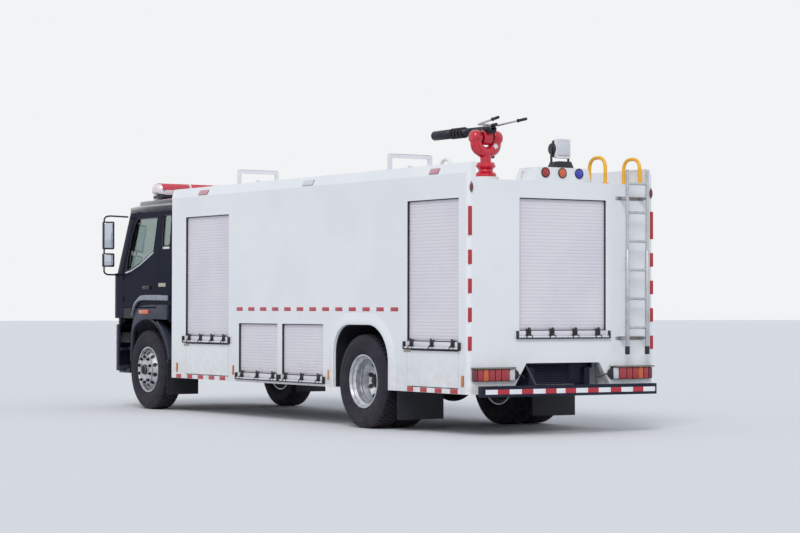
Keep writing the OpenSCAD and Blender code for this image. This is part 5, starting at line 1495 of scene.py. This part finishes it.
class FIRETRUCK_OT_cab_corners(bpy.types.Operator):
    """Make the rounded windscreen pillars, the quarter panels and the roof's rounded corners"""
    bl_idname = "firetruck.cab_corners"
    bl_label = "Cab corners"

    def execute(self, context):
        centre = (PILLAR_FRONT - PILLAR_RADIUS, CAB_SIDE - PILLAR_RADIUS)
        outline = [(PILLAR_REAR, CAB_SIDE)] + arc(centre, PILLAR_RADIUS, 90, 0, 9) + arc(centre,
                PILLAR_RADIUS - 0.045, 0, 90, 9) + [(PILLAR_REAR, CAB_SIDE - 0.045)]
        pillar = plate("pillar", [(x, y, BELT) for x, y in outline], PILLAR_RISE)
        pillars = [pillar, mirrored(pillar, "pillar")]
        panels = cast("cab_sides", "quarter_panels")
        drop(panels, lambda centre, normal: centre.x > DOOR_REAR + 0.3)
        fit(join("cab_pillars", [panels] + pillars), "dark_blue_cab_enamel", replaces=("cab_sides",))
        roof = cast("cab_roof", "cab_roof_panel")
        low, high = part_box("cab_roof")
        corner = (high.x - PILLAR_RADIUS, high.y - PILLAR_RADIUS)
        half = arc(corner, PILLAR_RADIUS, 0, 90, 9) + [(low.x - 0.05, high.y + 0.0001)]
        plan = half + [(x, -y) for x, y in reversed(half)]
        trim(roof, plate("plan", [(x, y, low.z - 0.05) for x, y in plan], (0, 0, 0.3)))
        fit(roof, "dark_blue_roof_enamel_painted_reflection", replaces=("cab_roof",))
        return {"FINISHED"}


class FIRETRUCK_OT_front_bumper(bpy.types.Operator):
    """Make the front bumper with its swept corners, the headlamps, the valances and the cab's steps"""
    bl_idname = "firetruck.front_bumper"
    bl_label = "Front bumper"

    def execute(self, context):
        low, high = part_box("front_bumper")
        radius = 0.50
        corner = (high.x - radius, high.y - radius)
        core = cast("front_bumper", "bumper_core")
        half = arc(corner, radius - 0.004, 0, 90, 16)
        plan = half + [(low.x - 0.1, high.y - 0.004)]
        plan += [(x, -y) for x, y in reversed(plan)]
        trim(core, plate("plan", [(x, y, low.z - 0.1) for x, y in plan], (0, 0, 1.0)))
        band = arc(corner, radius, -4, 84, 18) + arc(corner, radius - 0.035, 84, -4, 18)
        skin = plate("bumper_skin", [(x, y, low.z) for x, y in band], (0, 0, high.z - low.z))
        skin = soften(skin, 0.012, 3, 60)
        fit(join("bumper_shell", [core, skin, mirrored(skin, "skin")]), "satin_chassis_paint",
                replaces=("front_bumper",))
        lamp = arc(corner, radius + 0.003, 10, 62, 14) + arc(corner, radius - 0.060, 62, 10, 14)
        lens = plate("headlamp", [(x, y, 0.862) for x, y in lamp], (0, 0, 0.136))
        fit_both(soften(lens, 0.006), "clear_lens_acrylic")
        frame_line = arc(corner, radius + 0.005, 10, 63, 14) + arc(corner, radius - 0.050, 63, 10, 14)
        rims = [plate("rim", [(x, y, z) for x, y in frame_line], (0, 0, 0.012)) for z in (0.852, 0.996)]
        fit_both(join("headlamp_rims", rims), "black_moulded_abs")
        valance = plate("corner_valance", [(x, y, 1.095)
                    for x, y in arc(corner, radius - 0.028, 2, 84, 14)
                    + arc(corner, radius - 0.055, 84, 2, 14)], (0, 0, 0.122))
        fit_both(soften(valance, 0.004), "dark_blue_cab_enamel")
        treads = []
        for z, depth, out in ((0.462, 0.060, 1.130), (0.770, 0.034, 1.090)):
            tread = inset(block("tread", (FRONT_AXLE + 0.548, 0.905, z), (FRONT_AXLE + 0.870, out, z + depth)),
                    UPWARD, 0.012, -0.003)
            treads.append(soften(tread, 0.004))
        fit_both(join("cab_steps", treads), "black_moulded_abs")
        return {"FINISHED"}


class FIRETRUCK_OT_cab_front(bpy.types.Operator):
    """Make the grille and the blank plate's place of the cab's front"""
    bl_idname = "firetruck.cab_front"
    bl_label = "Cab front"

    def execute(self, context):
        x = CAB_FRONT
        bezel = inset(inset(block("grille_bezel", (x - 0.004, -0.72, 1.220), (x + 0.010, 0.72, 1.600)), FORWARD,
                    0.018, 0.0), lambda centre, normal: normal.x > 0.9 and abs(centre.y) < 0.01
                and abs(centre.z - 1.41) < 0.01, 0.004, -0.012)
        slat = soften(block("grille_slat", (x - 0.001, -0.70, 1.262), (x + 0.012, 0.70, 1.286)), 0.004)
        fit(join("grille", [soften(bezel, 0.003), row(slat, (0, 0, 0.062), 5)]), "black_moulded_abs")
        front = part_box("front_bumper")[1].x
        place = inset(block("plate_place", (front - 0.002, -0.26, 0.640), (front, 0.26, 0.755)), FORWARD, 0.004,
                0.0)
        fit(place, "white_powder_coat")
        return {"FINISHED"}


class FIRETRUCK_OT_mirrors(bpy.types.Operator):
    """Make the mirrors with their rounded housings, glass and bent tube"""
    bl_idname = "firetruck.mirrors"
    bl_label = "Mirrors"

    def execute(self, context):
        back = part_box("mirrors")[0].x
        housings, glasses = [], []
        for y0, y1, z0, z1 in ((1.270, 1.426, 2.118, 2.492), (1.268, 1.428, 1.882, 2.066)):
            housing = inset(extrude(block("housing", (back, y0, z0), (back + 0.075, y1, z1)), FORWARD,
                        (0.012, 0, 0), (1, 0.72, 0.86)), BACKWARD, 0.014, -0.006)
            housings.append(soften(housing, 0.022, 4, 50))
            glass = inset(block("glass", (back + 0.004, y0 + 0.020, z0 + 0.020),
                        (back + 0.012, y1 - 0.020, z1 - 0.020)), BACKWARD, 0.006, 0.001)
            glasses.append(soften(glass, 0.002, 2))
        for piece in housings + glasses:
            shift(piece, turn=(0, 0, math.radians(-14)), about=(back + 0.04, 1.35, 0))
        post = back + 0.118
        bend = [(0.0, 0.0), (0.020, 0.006), (0.038, 0.020), (0.050, 0.040)]
        lower = [(post, 1.322 + u, 1.782 + v) for u, v in bend]
        upper = [(post, 1.322 + u, 2.566 - v) for u, v in reversed(bend)]
        arm = tube("mirror_arm", [(post + 0.060, CAB_SIDE - 0.02, 1.780), (post + 0.010, 1.300, 1.780)] + lower
                + upper + [(post - 0.020, 1.290, 2.570), (post - 0.090, 1.060, 2.560)], 0.0115, fine=4)
        clamps = [soften(block("clamp", (back + 0.060, 1.352, z - 0.020), (post + 0.013, 1.390, z + 0.020)),
                    0.005) for z in (1.990, 2.220, 2.400)]
        whole = join("mirror_housings", housings + [arm] + clamps)
        fit_pair(whole, "black_moulded_abs", replaces=("mirrors",))
        fit_both(join("mirror_glasses", glasses), "mirror_glass")
        return {"FINISHED"}


# Studio

# The camera's place and direction, from a fit to the body's corners and the wheels in the picture
CAMERA_PLACE = Vector((-23.7061, 14.3800, 1.3229))
CAMERA_YAW = 0.567065
CAMERA_PITCH = 0.018836
CAMERA_ROLL = 0.002018
CAMERA_FOCAL_PX = 2264.69
FRAME_WIDTH_PX = 800


class FIRETRUCK_OT_stage(bpy.types.Operator):
    """Set the floor, the lights and the camera"""
    bl_idname = "firetruck.stage"
    bl_label = "Studio"

    def execute(self, context):
        self.floor()
        self.sky()
        self.camera()
        return {"FINISHED"}

    def floor(self):
        colours = bpy.context.scene.truck_colours
        deselect()
        bpy.ops.mesh.primitive_plane_add(size=400)
        floor = settle("studio_floor")
        material = bpy.data.materials.new("pale_studio_floor")
        material.use_nodes = True
        tree = material.node_tree
        tree.nodes.clear()
        skin = add_node(tree, "ShaderNodeBsdfPrincipled", {"Base Color": colours.floor, "Roughness": 0.85})
        add_node(tree, "ShaderNodeOutputMaterial", {}, {"Surface": skin.outputs[0]})
        floor.data.materials.append(material)

    def sky(self):
        world = bpy.data.worlds.new("studio_sky")
        bpy.context.scene.world = world
        world.use_nodes = True
        tree = world.node_tree
        tree.nodes.clear()
        path = add_node(tree, "ShaderNodeLightPath")
        seen = add_node(tree, "ShaderNodeMath", {"operation": "ADD", "use_clamp": True},
                {0: path.outputs["Is Camera Ray"], 1: path.outputs["Is Glossy Ray"]})
        seen = add_node(tree, "ShaderNodeMath", {"operation": "ADD", "use_clamp": True},
                {0: seen.outputs[0], 1: path.outputs["Is Transmission Ray"]})
        shown = add_node(tree, "ShaderNodeBackground", {"Color": ink("#f2f3f5"), "Strength": 1.0})
        soft = add_node(tree, "ShaderNodeBackground", {"Color": ink("#e7ecf5"), "Strength": 0.72})
        both = add_node(tree, "ShaderNodeMixShader", {},
                {0: seen.outputs[0], 1: soft.outputs[0], 2: shown.outputs[0]})
        add_node(tree, "ShaderNodeOutputWorld", {}, {"Surface": both.outputs[0]})
        deselect()
        bpy.ops.object.light_add(type="SUN", location=(-6, 8, 12))
        sun = bpy.context.object
        sun.name = "studio_key"
        sun.data.energy = 1.5
        sun.data.angle = math.radians(25)
        sun.rotation_euler = Vector((-0.62, 0.55, 0.75)).to_track_quat("Z", "Y").to_euler()

    def camera(self):
        forward = Vector((math.cos(CAMERA_YAW) * math.cos(CAMERA_PITCH),
                    -math.sin(CAMERA_YAW) * math.cos(CAMERA_PITCH), math.sin(CAMERA_PITCH)))
        level = forward.cross(Vector((0, 0, 1))).normalized()
        above = level.cross(forward)
        right = level * math.cos(CAMERA_ROLL) + above * math.sin(CAMERA_ROLL)
        up = above * math.cos(CAMERA_ROLL) - level * math.sin(CAMERA_ROLL)
        deselect()
        bpy.ops.object.camera_add()
        camera = bpy.context.object
        camera.name = "photo_camera"
        turned_to = Matrix((right, up, -forward)).transposed()
        camera.matrix_world = Matrix.Translation(CAMERA_PLACE) @ turned_to.to_4x4()
        camera.data.sensor_width = 36
        camera.data.lens = CAMERA_FOCAL_PX / FRAME_WIDTH_PX * 36
        camera.data.clip_end = 500
        bpy.context.scene.camera = camera
        bpy.context.scene.view_settings.view_transform = "Standard"


OPERATORS = (FIRETRUCK_OT_finishes, FIRETRUCK_OT_tyres, FIRETRUCK_OT_wheel_nuts, FIRETRUCK_OT_tape,
             FIRETRUCK_OT_shutter_curtains, FIRETRUCK_OT_shutter_fittings,
             FIRETRUCK_OT_arches, FIRETRUCK_OT_side_lamps, FIRETRUCK_OT_rear_lamps, FIRETRUCK_OT_rear_recess,
             FIRETRUCK_OT_ladder_fittings, FIRETRUCK_OT_light_bar, FIRETRUCK_OT_searchlight, FIRETRUCK_OT_monitor,
             FIRETRUCK_OT_roof_fittings, FIRETRUCK_OT_cab_trim, FIRETRUCK_OT_fenders, FIRETRUCK_OT_cab_corners,
             FIRETRUCK_OT_front_bumper, FIRETRUCK_OT_cab_front, FIRETRUCK_OT_mirrors,
             FIRETRUCK_OT_stage)


class FIRETRUCK_PT_panel(bpy.types.Panel):
    """The fire truck's steps and settings"""
    bl_label = "Fire truck"
    bl_idname = "FIRETRUCK_PT_panel"
    bl_space_type = "VIEW_3D"
    bl_region_type = "UI"
    bl_category = "Fire truck"

    def draw(self, context):
        for step in OPERATORS:
            self.layout.operator(step.bl_idname)
        for settings in (context.scene.truck_colours, context.scene.truck_sizes):
            box = self.layout.box()
            for name in settings.__annotations__:
                box.prop(settings, name)


CLASSES = (FireTruckColours, FireTruckSizes) + OPERATORS + (FIRETRUCK_PT_panel,)


def register():
    for cls in CLASSES:
        bpy.utils.register_class(cls)
    bpy.types.Scene.truck_colours = PointerProperty(type=FireTruckColours)
    bpy.types.Scene.truck_sizes = PointerProperty(type=FireTruckSizes)


def unregister():
    del bpy.types.Scene.truck_sizes
    del bpy.types.Scene.truck_colours
    for cls in reversed(CLASSES):
        bpy.utils.unregister_class(cls)


def main():
    register()
    for step in OPERATORS:
        group, name = step.bl_idname.split(".")
        getattr(getattr(bpy.ops, group), name)()


if __name__ == "__main__":
    main()
